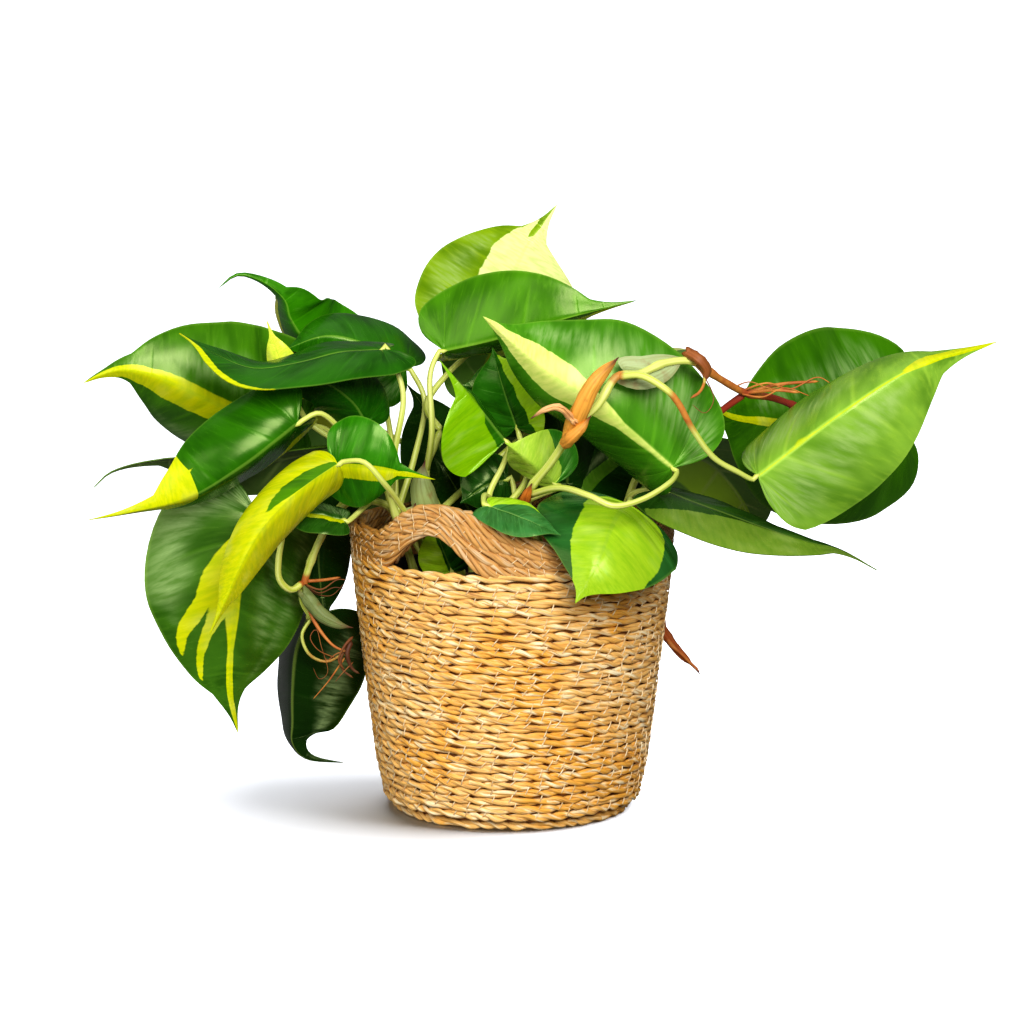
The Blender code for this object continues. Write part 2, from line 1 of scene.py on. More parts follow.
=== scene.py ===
"""Looks of a potted heartleaf philodendron with variegated leaves, in a seagrass basket with two handles.

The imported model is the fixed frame. Tables are in millimetres, and MM turns them into metres where a
shape is made. The basket's axis is Z and the side that faces the viewer is -Y.
"""

import math
import random
from typing import NamedTuple

import bmesh
import bpy
from bpy.props import FloatProperty, FloatVectorProperty, IntProperty, PointerProperty
from mathutils import Matrix, Vector, noise


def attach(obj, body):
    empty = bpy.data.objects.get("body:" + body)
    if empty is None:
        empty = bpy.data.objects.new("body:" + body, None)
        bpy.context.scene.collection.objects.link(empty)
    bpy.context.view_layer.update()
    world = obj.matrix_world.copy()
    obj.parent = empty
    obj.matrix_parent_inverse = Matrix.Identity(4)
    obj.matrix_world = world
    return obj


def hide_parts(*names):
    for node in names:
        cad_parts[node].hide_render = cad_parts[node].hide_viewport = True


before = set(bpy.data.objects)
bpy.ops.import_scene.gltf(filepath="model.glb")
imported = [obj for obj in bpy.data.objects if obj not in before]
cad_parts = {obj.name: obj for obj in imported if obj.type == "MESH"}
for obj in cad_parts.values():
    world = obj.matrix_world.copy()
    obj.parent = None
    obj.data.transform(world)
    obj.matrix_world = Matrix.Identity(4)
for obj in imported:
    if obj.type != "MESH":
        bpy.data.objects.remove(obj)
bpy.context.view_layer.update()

bl_info = {
    "name": "Potted Heartleaf Philodendron",
    "version": (1, 0, 0),
    "blender": (4, 5, 0),
    "location": "View3D > Sidebar > Philodendron",
    "description": "Variegated heartleaf philodendron in a woven seagrass basket",
    "category": "Object",
}

MM = 0.001
WELD = 0.01 * MM


def colour(hex_value):
    """An sRGB hex colour as linear RGBA."""
    shares = [int(hex_value[i:i + 2], 16) / 255 for i in (1, 3, 5)]
    return (*[s / 12.92 if s <= 0.04045 else ((s + 0.055) / 1.055) ** 2.4 for s in shares], 1.0)


# Basket: the wall, rim and handles of the solids, with finer rows than their ridges
ROW_COUNT = 30
ROW_PITCH = 3.9
LINING_DEPTH = 2.45
LINING_TOP = 119
FIRST_ROW = 7.6
ROW_HEIGHTS = [FIRST_ROW + ROW_PITCH * row for row in range(ROW_COUNT)]
ROW_RELIEF = 0.8
BASE_RINGS = (51.0, 45.2, 39.4, 33.6, 27.8, 22.0, 16.2, 10.4, 4.6)
BASE_HEIGHT = 3.0
BASE_ROPE_SIZE = 0.98
# The row at the foot lies beside the outer ring of the base
FOOT_RADIUS = BASE_RINGS[0] + 4.35
FOOT_HEIGHT = FIRST_ROW - ROW_PITCH * 1.3
WALL = 7.0
WALL_RADII = ((0, 58.5), (8, 60.5), (24, 64), (52, 67.5), (99, 73), (124, 75.5), (140, 77))
BAND_FOOT = 123.0
BAND_TOP = 136.5
HANDLE_ANGLES = (-29.0, 151.0)
ARCH_RISE = 16.5
ARCH_REACH = (29.0, 44.0)
HOLE_RISE = 18.0
HOLE_REACH = (24.0, 21.0)
ARCH_FULLNESS = 0.8
RIM_ROPES = (0.14, 0.38, 0.62, 0.86)
RIM_RADIUS = 70
RIM_ROPE_HEIGHT = 4.6
# How far the rim is browned: partly the twine's own brown, partly painted shade
RIM_BROWN_AND_SHADE = 0.5
OUTER_SHIFT = 1.5
OUTER_SPREAD = 1.02
OUTER_THICKNESS = 1.1
INNER_SHIFT = -1.8
BASKET_SEED = 7

# Strands: their segments (of a ring, to the millimetre of its radius) and sides, their form, and the
# noises that make them differ, as (size, waves)
ROW_SEGMENTS = 288
ROW_SIDES = 5
RIM_SEGMENTS = 240
INNER_RIM_SEGMENTS = 160
RING_SEGMENTS = 2.6
ROPE_SIDES = 6
MORE_TWISTS = (-4, -2, 0, 2)
SEAM_STEP = 2.399
ROW_DEPTH = 0.6
ROW_SPREAD = 1.1
STRAND_DEPTH = 0.85
WIND_NOISE = (3.2, 2.6)
ROW_NOISE = (0.5, 3.5)
STRAND_NOISE = (0.4, 9)
SWELL_NOISE = (0.4, 11)
RIDGE_NOISE = (0.2, 6)

# A binding stitch and a stray fibre: X goes round the basket, -Y points out of the wall
STITCH_ROUTE = ((-1.3, 0.9, -3.0), (-0.9, -0.15, -2.1), (-0.3, -0.5, -0.7), (0.4, -0.5, 0.8),
                (1.0, -0.1, 2.2), (1.3, 0.9, 3.0))
STITCH_RADIUS = 0.3
STITCH_SINK = 0.55
STITCH_SHARE = 0.55
STITCH_LEAN = (-0.15, 0.4)
RIM_STITCHES = 16
RIM_STITCH_LEANS = (-0.55, 0.5)
RIM_STITCH_REACH = 3.3
RIM_STITCH_SIZE = 0.7
FIBRE_ROUTE = ((0, 0.5, 0), (1.2, -0.3, 0.3), (2.8, -0.7, 0.2), (4.6, -0.9, -0.4), (6.2, -0.7, -1.2))
FIBRE_RADII = (0.14, 0.14, 0.12, 0.09, 0.05)
FIBRE_SINK = 0.6
FIBRE_HEIGHTS = (4, 134)
RIM_FIBRE_REACH = 3.2

# Soil and stems
SOIL_EDGE = 103.0
SOIL_CROWN = 107.0
SOIL_RADIUS = 58.4
SOIL_DEPTH = 60.0
SOIL_RINGS = 6
SOIL_RING = 0.14
SOIL_SEED = 11
CRUMB_RADIUS = 1.7
CRUMB_MARGIN = 3
STEM_FOOT = 82.0
STEM_STEP = 2.4
JOINT_LENGTH = 2.4
STEM_SIDES = 12
JOINTED_RADIUS = 1.2
ROOT_STEP = 1.6
ROOT_SIDES = 6
PETIOLE_RADIUS = 1.7
PETIOLE_END_RADIUS = 1.15
PETIOLE_STRAIGHT = 3.2
MIDRIB_STEP = 1.5

# Half of a heart-shaped blade, from the notch at its base to its tip: the margin's distance from the
# midrib as a share of the width, its place along the midrib as a share of the length, and the place
# where the vein that ends there leaves the midrib
HEART = (
    (0.00, 0.00, 0.00),
    (0.17, -0.11, 0.00),
    (0.35, -0.10, 0.00),
    (0.47, 0.07, 0.00),
    (0.50, 0.28, 0.07),
    (0.46, 0.48, 0.26),
    (0.36, 0.65, 0.48),
    (0.21, 0.79, 0.68),
    (0.09, 0.87, 0.80),
    (0.03, 0.93, 0.90),
    (0.00, 1.00, 1.00),
)
HEART_KNOTS = [Vector(row) for row in HEART]
DRIP_ROW = 8
FRONT = (0.0, -1.0, 0.15)
BLADE_COLUMNS = 32
BLADE_ROWS = 50
SIDE_VEINS = 7.0
VEIN_SHARPNESS = 0.7
ARCH_FLATNESS = 0.6
GROOVE_WIDTH = 0.06
RIPPLE_SHARE = 0.35

YELLOW = "#CED204"
LIME = "#A8D024"
CREAM = "#E4E898"
LIME_CREAM = "#E2EA80"


class Leaf(NamedTuple):
    """One blade and its petiole. Left and right are seen on the upper face with the tip up.

    Each half leaves the midrib at its first angle above the facing plane, and turns by its second
    angle on the way to its margin. The drip tip starts at a share of the midrib, and lobes is the
    depth of the two lobes beside the notch, against the heart's own.
    """

    name: str
    vine: str
    width: float
    facing: tuple
    left: tuple
    right: tuple
    midrib: tuple
    petiole: tuple
    drip: float = 0.87
    lobes: float = 1.0
    wave: float = 1.2


LEAVES = (
    Leaf("leaf_right_front", "right_vine", 82, FRONT, (-56, -30), (-8, -25),
         ((111, -55, 165), (147, -62, 194), (181, -55, 214), (220, -40, 224)),
         ((46, -78, 212), (57, -80, 213), (68, -82, 207), (74, -80, 200), (80, -76, 189), (90, -68, 175),
          (102, -60, 167)), drip=0.77, lobes=0.3),
    Leaf("leaf_right_back", "right_vine", 104, FRONT, (-24, -18), (-6, -12),
         ((187, 39, 177), (158, 25, 175), (128, 9, 180), (103, -2, 185), (93, -3, 192)),
         ((134, -6, 190), (160, 3, 187), (183, 19, 183), (191, 33, 180))),
    Leaf("leaf_right_low", "right_vine", 54, (0.2, -0.12, 0.97), (0, -20), (-8, -20),
         ((72, -30, 154), (92, -44, 148), (126, -55, 137), (150, -56, 130), (166, -52, 121)),
         ((52, -6, 140), (56, -16, 151)), drip=0.78, lobes=0.6),
    Leaf("leaf_centre_large", "right_vine", 88, FRONT, (-52, -40), (-5, -25),
         ((72, -60, 169), (42, -66, 195), (15, -62, 213), (-13, -44, 236)),
         ((7, -50, 155), (21, -74, 162), (34, -92, 161), (45, -96, 157), (58, -88, 159), (70, -74, 164)),
         lobes=0.8),
    Leaf("leaf_rim_front", "right_vine", 74, (-0.1, -0.8, 0.6), (-22, -30), (4, -16),
         ((52, -57, 152), (46, -76, 148), (38, -90, 131), (28, -93, 113)),
         ((52, -6, 140), (54, -30, 150)), lobes=0.5),
    Leaf("leaf_top_back", "centre_vine", 84, FRONT, (-8, -14), (-6, -16),
         ((-10, 28, 223), (-4, 38, 239), (2, 46, 252), (8, 53, 263), (15, 58, 272), (22, 62, 281)),
         ((-33, -12, 180), (-40, 4, 190), (-30, 16, 204)), drip=0.74),
    Leaf("leaf_top_front", "centre_vine", 64, FRONT, (-8, -12), (-72, -30),
         ((-31, -10, 217), (-8, -18, 223), (24, -22, 233), (57, -18, 241)),
         ((-40, -12, 160), (-37, -18, 181), (-38, -14, 205)), drip=0.78),
    Leaf("leaf_cupped", "centre_front_vine", 58, FRONT, (5, 10), (-85, 0),
         ((-3, -40, 179), (-18, -48, 199), (-33, -50, 217)),
         ((-6, -30, 130), (-11, -33, 150), (-4, -33, 167)), drip=0.64, lobes=0.1),
    Leaf("leaf_small_heart", "centre_front_vine", 42, FRONT, (-70, 0), (-5, -20),
         ((19, -47, 160), (10, -52, 169), (-3, -56, 180)),
         ((-6, -30, 130), (3, -31, 147))),
    Leaf("leaf_folded", "centre_front_vine", 40, (-0.6, -0.8, 0.0), (10, -20), (10, -20),
         ((2, -12, 182), (-4, -15, 200), (-9, -13, 219)),
         ((-5, -34, 145), (7, -22, 160))),
    Leaf("leaf_rim_small", "centre_front_vine", 22, (0.0, -0.5, 0.85), (0, -15), (-5, -20),
         ((-10, -69, 153), (5, -79, 149), (22, -85, 142)),
         ((-5, -34, 145), (-12, -50, 155))),
    Leaf("leaf_centre_low", "centre_front_vine", 32, FRONT, (-20, -10), (-10, -20),
         ((-3, -21, 158), (-12, -24, 156), (-24, -26, 148)),
         ((-6, -30, 130), (1, -22, 145))),
    Leaf("leaf_inside_handle", "centre_vine", 26, FRONT, (-10, -10), (-10, -10),
         ((-28, -34, 118), (-32, -38, 129), (-36, -38, 141)),
         ((-24, -9, 112), (-26, -26, 108))),
    Leaf("leaf_centre_dark", "centre_vine", 44, FRONT, (-30, -10), (-10, -20),
         ((8, 6, 188), (-8, 2, 196), (-24, 0, 200)),
         ((-34, -12, 142), (-12, 4, 160), (8, 12, 178))),
    Leaf("leaf_upper_left", "left_vine", 54, FRONT, (-66, -20), (-14, -20),
         ((-78, 34, 207), (-97, 30, 217), (-105, 26, 228), (-107, 22, 237), (-113, 20, 244),
          (-122, 18, 249), (-130, 16, 250), (-138, 14, 244)),
         ((-54, -14, 140), (-56, 14, 162), (-62, 34, 190)), drip=0.6),
    Leaf("leaf_upper_round", "left_vine", 60, FRONT, (-20, -20), (-52, -20),
         ((-50, 12, 207), (-66, 10, 217), (-87, 10, 222), (-108, 10, 215)),
         ((-54, -14, 140), (-46, -2, 165), (-41, 10, 190))),
    Leaf("leaf_left_long", "left_vine", 40, (0.0, -0.35, 0.94), (-5, -20), (-5, -20),
         ((-60, -22, 219), (-78, -34, 219), (-96, -40, 215), (-117, -40, 212), (-135, -36, 218),
          (-152, -30, 227)),
         ((-56, -16, 148), (-54, -24, 172), (-50, -24, 198))),
    Leaf("leaf_far_left", "left_vine", 90, FRONT, (-46, -26), (-8, -20),
         ((-98, 5, 181), (-125, -1, 186), (-145, -6, 195), (-163, -9, 204), (-179, -10, 208),
          (-190, -10, 206), (-199, -10, 202)),
         ((-60, -18, 158), (-73, -8, 168), (-86, 4, 178)), drip=0.79, lobes=0.6),
    Leaf("leaf_mid_dark", "left_vine", 38, FRONT, (-40, -10), (-20, -20),
         ((-68, -13, 184), (-75, -18, 195), (-89, -22, 204), (-113, -20, 204)),
         ((-60, -18, 158), (-63, -14, 172))),
    Leaf("leaf_spike", "left_vine", 17, FRONT, (-30, 0), (-10, 0),
         ((-101, -4, 194), (-108, -4, 212), (-114, -4, 231)),
         ((-60, -18, 158), (-76, -6, 170), (-94, -3, 182)), drip=0.78, lobes=0.3),
    Leaf("leaf_mid_left", "left_hanging_vine", 62, FRONT, (-78, -10), (10, -62),
         ((-98, -40, 186), (-107, -44, 179), (-122, -48, 168), (-146, -50, 154), (-174, -48, 147),
          (-193, -44, 143)),
         ((-66, -4, 146), (-67, -20, 160), (-77, -29, 180), (-87, -37, 191)), drip=0.7),
    Leaf("leaf_left_tail", "left_hanging_vine", 42, (0.0, 0.5, 0.87), (-10, -20), (-10, -20),
         ((-96, 6, 167), (-126, 4, 162), (-151, -2, 165), (-172, -6, 164), (-187, -8, 160),
          (-195, -10, 153)),
         ((-66, -4, 146), (-80, 2, 158)), drip=0.68),
    Leaf("leaf_yellow", "left_hanging_vine", 44, FRONT, (-54, -20), (-38, -30),
         ((-78, -66, 171), (-91, -74, 163), (-103, -78, 153), (-113, -80, 141), (-121, -79, 127),
          (-129, -76, 110), (-136, -73, 95)),
         ((-41, 11, 116), (-44, -36, 137), (-51, -54, 152), (-58, -68, 164), (-66, -70, 173)),
         drip=0.84, lobes=0.2),
    Leaf("leaf_round_left", "left_hanging_vine", 90, FRONT, (-32, -28), (2, -16),
         ((-118, -14, 140), (-126, -18, 118), (-129, -22, 91), (-132, -20, 60), (-129, -14, 37)),
         ((-97, -12, 109), (-103, -18, 106), (-108, -23, 112), (-108, -26, 122), (-106, -26, 136),
          (-110, -20, 146)), drip=0.8),
    Leaf("leaf_hanging", "left_hanging_vine", 76, (0.06, -1.0, 0.0), (-8, -20), (-74, -10),
         ((-97, 5, 88), (-103, 8, 72), (-105, 9, 52), (-105, 9, 37), (-105, 9, 27), (-98, 10, 19),
          (-81, 11, 17)),
         ((-98, -10, 99), (-96, -3, 95)), drip=0.72),
    Leaf("leaf_small_green", "left_hanging_vine", 46, (0.0, -1.0, -0.15), (-10, -20), (-10, -20),
         ((-80, -42, 168), (-64, -44, 167), (-47, -42, 164), (-35, -40, 161)),
         ((-66, -4, 146), (-76, -26, 158), (-88, -38, 167)), drip=0.62, lobes=0.9),
    Leaf("leaf_small_dark", "left_hanging_vine", 24, (0.0, -0.5, 0.87), (-5, -15), (-5, -15),
         ((-78, -36, 142), (-90, -38, 145), (-110, -38, 146)),
         ((-66, -4, 146), (-68, -22, 146))),
    Leaf("leaf_back_high", "back_left_vine", 60, (0.0, 0.7, 0.5), (-5, -20), (-5, -20),
         ((-14, 48, 188), (-8, 64, 210), (2, 78, 224), (8, 86, 224)),
         ((-30, 50, 155), (-22, 42, 172))),
    Leaf("leaf_back_left_side", "back_left_vine", 56, (-0.3, 0.8, 0.5), (-5, -20), (-10, -20),
         ((-70, 60, 174), (-96, 72, 180), (-124, 78, 171), (-148, 78, 154)),
         ((-30, 50, 155), (-48, 50, 164))),
    Leaf("leaf_back_left_low", "back_left_vine", 66, (-0.3, 0.8, 0.5), (-5, -20), (-5, -20),
         ((-40, 70, 148), (-52, 88, 139), (-60, 97, 114), (-64, 97, 90)),
         ((-30, 50, 155), (-34, 60, 158))),
    Leaf("leaf_back_low", "back_right_vine", 64, (0.1, 0.85, 0.5), (-5, -20), (-5, -20),
         ((6, 62, 174), (8, 86, 168), (6, 108, 142), (0, 114, 112)),
         ((38, 42, 140), (24, 48, 158), (8, 48, 172))),
    Leaf("leaf_back_right_low", "back_right_vine", 66, (0.4, 0.8, 0.5), (-5, -20), (-5, -20),
         ((76, 60, 162), (98, 76, 153), (114, 86, 133), (124, 90, 109)),
         ((44, 46, 156), (58, 48, 164))),
    Leaf("leaf_back_right_high", "back_right_vine", 62, (0.2, 0.2, 0.97), (-5, -20), (-5, -20),
         ((46, 44, 186), (60, 60, 202), (78, 72, 210), (92, 80, 206)),
         ((44, 46, 156), (38, 36, 172))),
)

# Stems of each vine, as (points, radius at the start, radius at the end)
STEMS = {
    "right_vine": (
        (((16, -18, STEM_FOOT), (15, -20, 110), (11, -34, 138), (7, -50, 155), (18, -66, 173),
          (29, -78, 191), (38, -82, 200), (46, -78, 212), (57, -72, 213), (68, -66, 217),
          (81, -60, 217), (94, -48, 208), (107, -34, 200), (121, -20, 196), (136, -4, 189)), 2.1, 1.6),
        (((40, -12, STEM_FOOT), (42, -10, 112), (52, -6, 140), (60, -10, 161), (74, -18, 172),
          (88, -26, 184), (98, -30, 193), (107, -34, 200)), 1.9, 1.6),
        (((106, -34, 200), (122, -34, 204), (141, -30, 205)), 1.0, 0.6),
        (((106, -34, 200), (120, -40, 202), (131, -42, 201)), 0.9, 0.6),
        (((81, -60, 217), (86, -64, 211), (84, -70, 205), (79, -74, 202)), 0.8, 0.6),
    ),
    "centre_vine": (
        (((-20, -8, STEM_FOOT), (-24, -9, 112), (-34, -12, 142), (-40, -12, 160), (-33, -12, 181)), 2.2, 1.7),
    ),
    "centre_front_vine": (
        (((-4, -26, STEM_FOOT), (-5, -27, 112), (-6, -30, 130), (-5, -35, 147)), 2.0, 1.7),
    ),
    "left_vine": (
        (((-42, -4, STEM_FOOT), (-46, -6, 112), (-54, -14, 140), (-60, -18, 160)), 2.1, 1.7),
    ),
    "left_hanging_vine": (
        (((-34, 14, STEM_FOOT), (-40, 12, 112), (-54, 4, 138), (-66, -4, 146), (-79, -12, 145),
          (-90, -15, 128), (-97, -12, 109), (-98, -10, 99), (-93, -8, 90)), 2.1, 1.6),
        (((-97, -12, 109), (-88, -8, 109), (-80, -6, 110)), 0.9, 0.6),
        (((-94, -8, 91), (-99, -4, 82), (-96, 0, 72), (-88, 2, 68), (-80, 0, 72)), 0.9, 0.6),
    ),
    "back_left_vine": (
        (((-18, 30, STEM_FOOT), (-20, 34, 112), (-28, 44, 140), (-30, 50, 157)), 2.0, 1.7),
    ),
    "back_right_vine": (
        (((24, 26, STEM_FOOT), (28, 32, 112), (38, 42, 140), (44, 46, 158)), 2.0, 1.7),
        (((38, 42, 140), (52, 46, 153), (67, 52, 148), (75, 53, 128), (74, 46, 106), (73, 36, 88),
          (75, 28, 74), (82, 23, 67), (90, 17, 60)), 1.6, 0.7),
    ),
}

# Small blades in the shade between the stems, painted dark as shade, which have no solid of their own
SHADE_LEAVES = (
    Leaf("leaf_shade_left", "left_hanging_vine", 36, FRONT, (-20, -20), (-10, -20),
         ((-90, 10, 136), (-92, 15, 118), (-91, 16, 100), (-88, 14, 80)), (), drip=0.8),
    Leaf("leaf_shade_inner", "left_vine", 44, FRONT, (-10, -20), (-30, -20),
         ((-30, 24, 146), (-34, 26, 166), (-42, 26, 186), (-50, 24, 198)), (), drip=0.8),
    Leaf("leaf_shade_low", "centre_vine", 34, FRONT, (-10, -20), (-20, -20),
         ((-14, 2, 132), (-22, -2, 144), (-30, -4, 158), (-38, 0, 168)), (), drip=0.8),
    Leaf("leaf_shade_right", "right_vine", 44, FRONT, (-10, -20), (-20, -20),
         ((30, 12, 144), (42, 12, 156), (56, 9, 168), (70, 4, 178)), (), drip=0.8),
    Leaf("leaf_shade_centre", "centre_front_vine", 38, FRONT, (-10, -20), (-20, -20),
         ((26, 10, 152), (26, 8, 168), (22, 6, 184), (14, 4, 200)), (), drip=0.8),
    Leaf("leaf_shade_side", "left_hanging_vine", 34, FRONT, (-10, -20), (-20, -20),
         ((-70, -4, 158), (-82, -5, 153), (-94, -6, 146), (-104, -6, 138)), (), drip=0.8),
)

# Papery sheaths that are left on the stems, curled like narrow blades
SHEATHS = (
    Leaf("dried_sheath_right", "right_vine", 13, FRONT, (-20, -50), (-30, -50),
         ((26, -81, 186), (29, -90, 196), (36, -94, 211), (47, -88, 222)), (), drip=0.92, wave=0.9),
    Leaf("dried_sheath_left", "left_hanging_vine", 9, FRONT, (-30, -40), (-30, -40),
         ((-97, -17, 104), (-90, -20, 95), (-81, -20, 90), (-74, -18, 88)), (), wave=0.4),
)
SHEATH_CURLS = (
    Leaf("dried_curl_side", "right_vine", 5, FRONT, (-40, -60), (-20, -60),
         ((27, -89, 194), (21, -92, 200), (14, -93, 199), (8, -92, 195)), (), wave=0.5),
    Leaf("dried_curl_low", "right_vine", 9, FRONT, (-30, -60), (-30, -60),
         ((22, -80, 182), (25, -87, 185), (30, -89, 190), (35, -86, 196)), (), wave=0.8),
    Leaf("dried_curl_joint", "right_vine", 10, FRONT, (-30, -70), (-30, -70),
         ((78, -64, 222), (83, -68, 219), (87, -66, 213), (85, -64, 207)), (), wave=0.9),
    Leaf("pale_membrane", "right_vine", 15, FRONT, (10, -20), (10, -20),
         ((50, -70, 214), (58, -70, 213), (67, -66, 215), (77, -61, 219)), (), drip=0.92, wave=0.6),
    Leaf("orange_sheath", "centre_front_vine", 6, FRONT, (-30, -50), (-30, -50),
         ((5, -52, 149), (6, -57, 155), (9, -59, 162)), (), wave=0.5),
    Leaf("root_spear", "back_right_vine", 7, FRONT, (-30, -50), (-30, -50),
         ((73, 28, 78), (79, 26, 70), (85, 22, 64), (91, 17, 58)), (), drip=0.7, wave=0.3),
    Leaf("pale_sheath_inner", "centre_vine", 16, FRONT, (-20, -40), (-20, -40),
         ((-36, -22, 138), (-40, -28, 148), (-42, -28, 158), (-40, -24, 168)), (), wave=0.8),
    Leaf("pale_sheath_low", "centre_vine", 12, FRONT, (-10, -60), (-30, -60),
         ((-44, -30, 134), (-47, -36, 142), (-44, -38, 150)), (), wave=0.8),
)
# Fine roots at the old joints, as (points, radius, how dark they have turned)
FINE_ROOTS = {
    "right_vine": (
        (((104, -36, 201), (116, -38, 205), (127, -35, 202), (139, -32, 207), (146, -30, 204)), 0.6, 0.0),
        (((104, -37, 200), (114, -41, 199), (124, -40, 203), (136, -38, 199)), 0.5, 0.0),
        (((100, -40, 203), (108, -42, 206), (118, -42, 203), (128, -39, 206)), 0.4, 0.2),
        (((82, -62, 216), (87, -66, 209), (90, -68, 201), (86, -70, 195), (80, -69, 199)), 0.35, 0.6),
    ),
    "left_hanging_vine": (
        (((-97, -14, 108), (-89, -17, 106), (-82, -14, 110), (-77, -14, 110)), 0.6, 0.7),
        (((-97, -14, 108), (-90, -15, 104), (-83, -17, 107), (-78, -16, 106)), 0.5, 0.8),
        (((-97, -14, 107), (-91, -13, 103), (-84, -15, 103), (-78, -15, 109)), 0.4, 0.8),
        (((-96, -12, 100), (-92, -16, 90), (-84, -18, 80), (-76, -17, 76)), 1.2, 0.0),
        (((-75, -17, 82), (-77, -19, 76), (-75, -18, 69), (-71, -18, 66)), 1.5, 0.9),
        (((-76, -16, 80), (-80, -18, 74), (-79, -18, 68), (-74, -18, 64)), 1.1, 0.8),
        (((-74, -17, 84), (-78, -20, 80), (-81, -20, 73), (-78, -19, 68)), 0.8, 0.7),
        (((-75, -18, 78), (-82, -20, 76), (-86, -20, 73), (-88, -20, 75)), 0.5, 0.5),
        (((-74, -18, 72), (-80, -20, 66), (-83, -19, 62)), 0.4, 0.6),
        (((-82, -20, 74), (-90, -22, 78), (-94, -22, 84), (-91, -22, 88), (-89, -21, 80),
          (-86, -20, 68), (-90, -20, 64), (-93, -21, 70)), 0.3, 0.5),
        (((-78, -17, 74), (-86, -14, 62), (-94, -10, 52)), 0.5, 0.0),
    ),
}


class Look(NamedTuple):
    """The green of one blade and its variegation.

    Each band is a streak that follows the veins, as rows of (place along the blade, where it starts
    and where it ends across it), with -1 at the left margin, 0 at the midrib and 1 at the right
    margin. Patches are clear-edged, pale bands are milky and soft, some of them painted highlights, and
    green bands cut into patches.
    """

    skin: str
    patch: str = YELLOW
    patches: tuple = ()
    pale: tuple = ()
    green: tuple = ()


# How much faster a band closes past its first and last rows than it does across the blade
BAND_END = 3
ALL_OVER = ((0, -1.4, 1.4), (1, -1.4, 1.4))

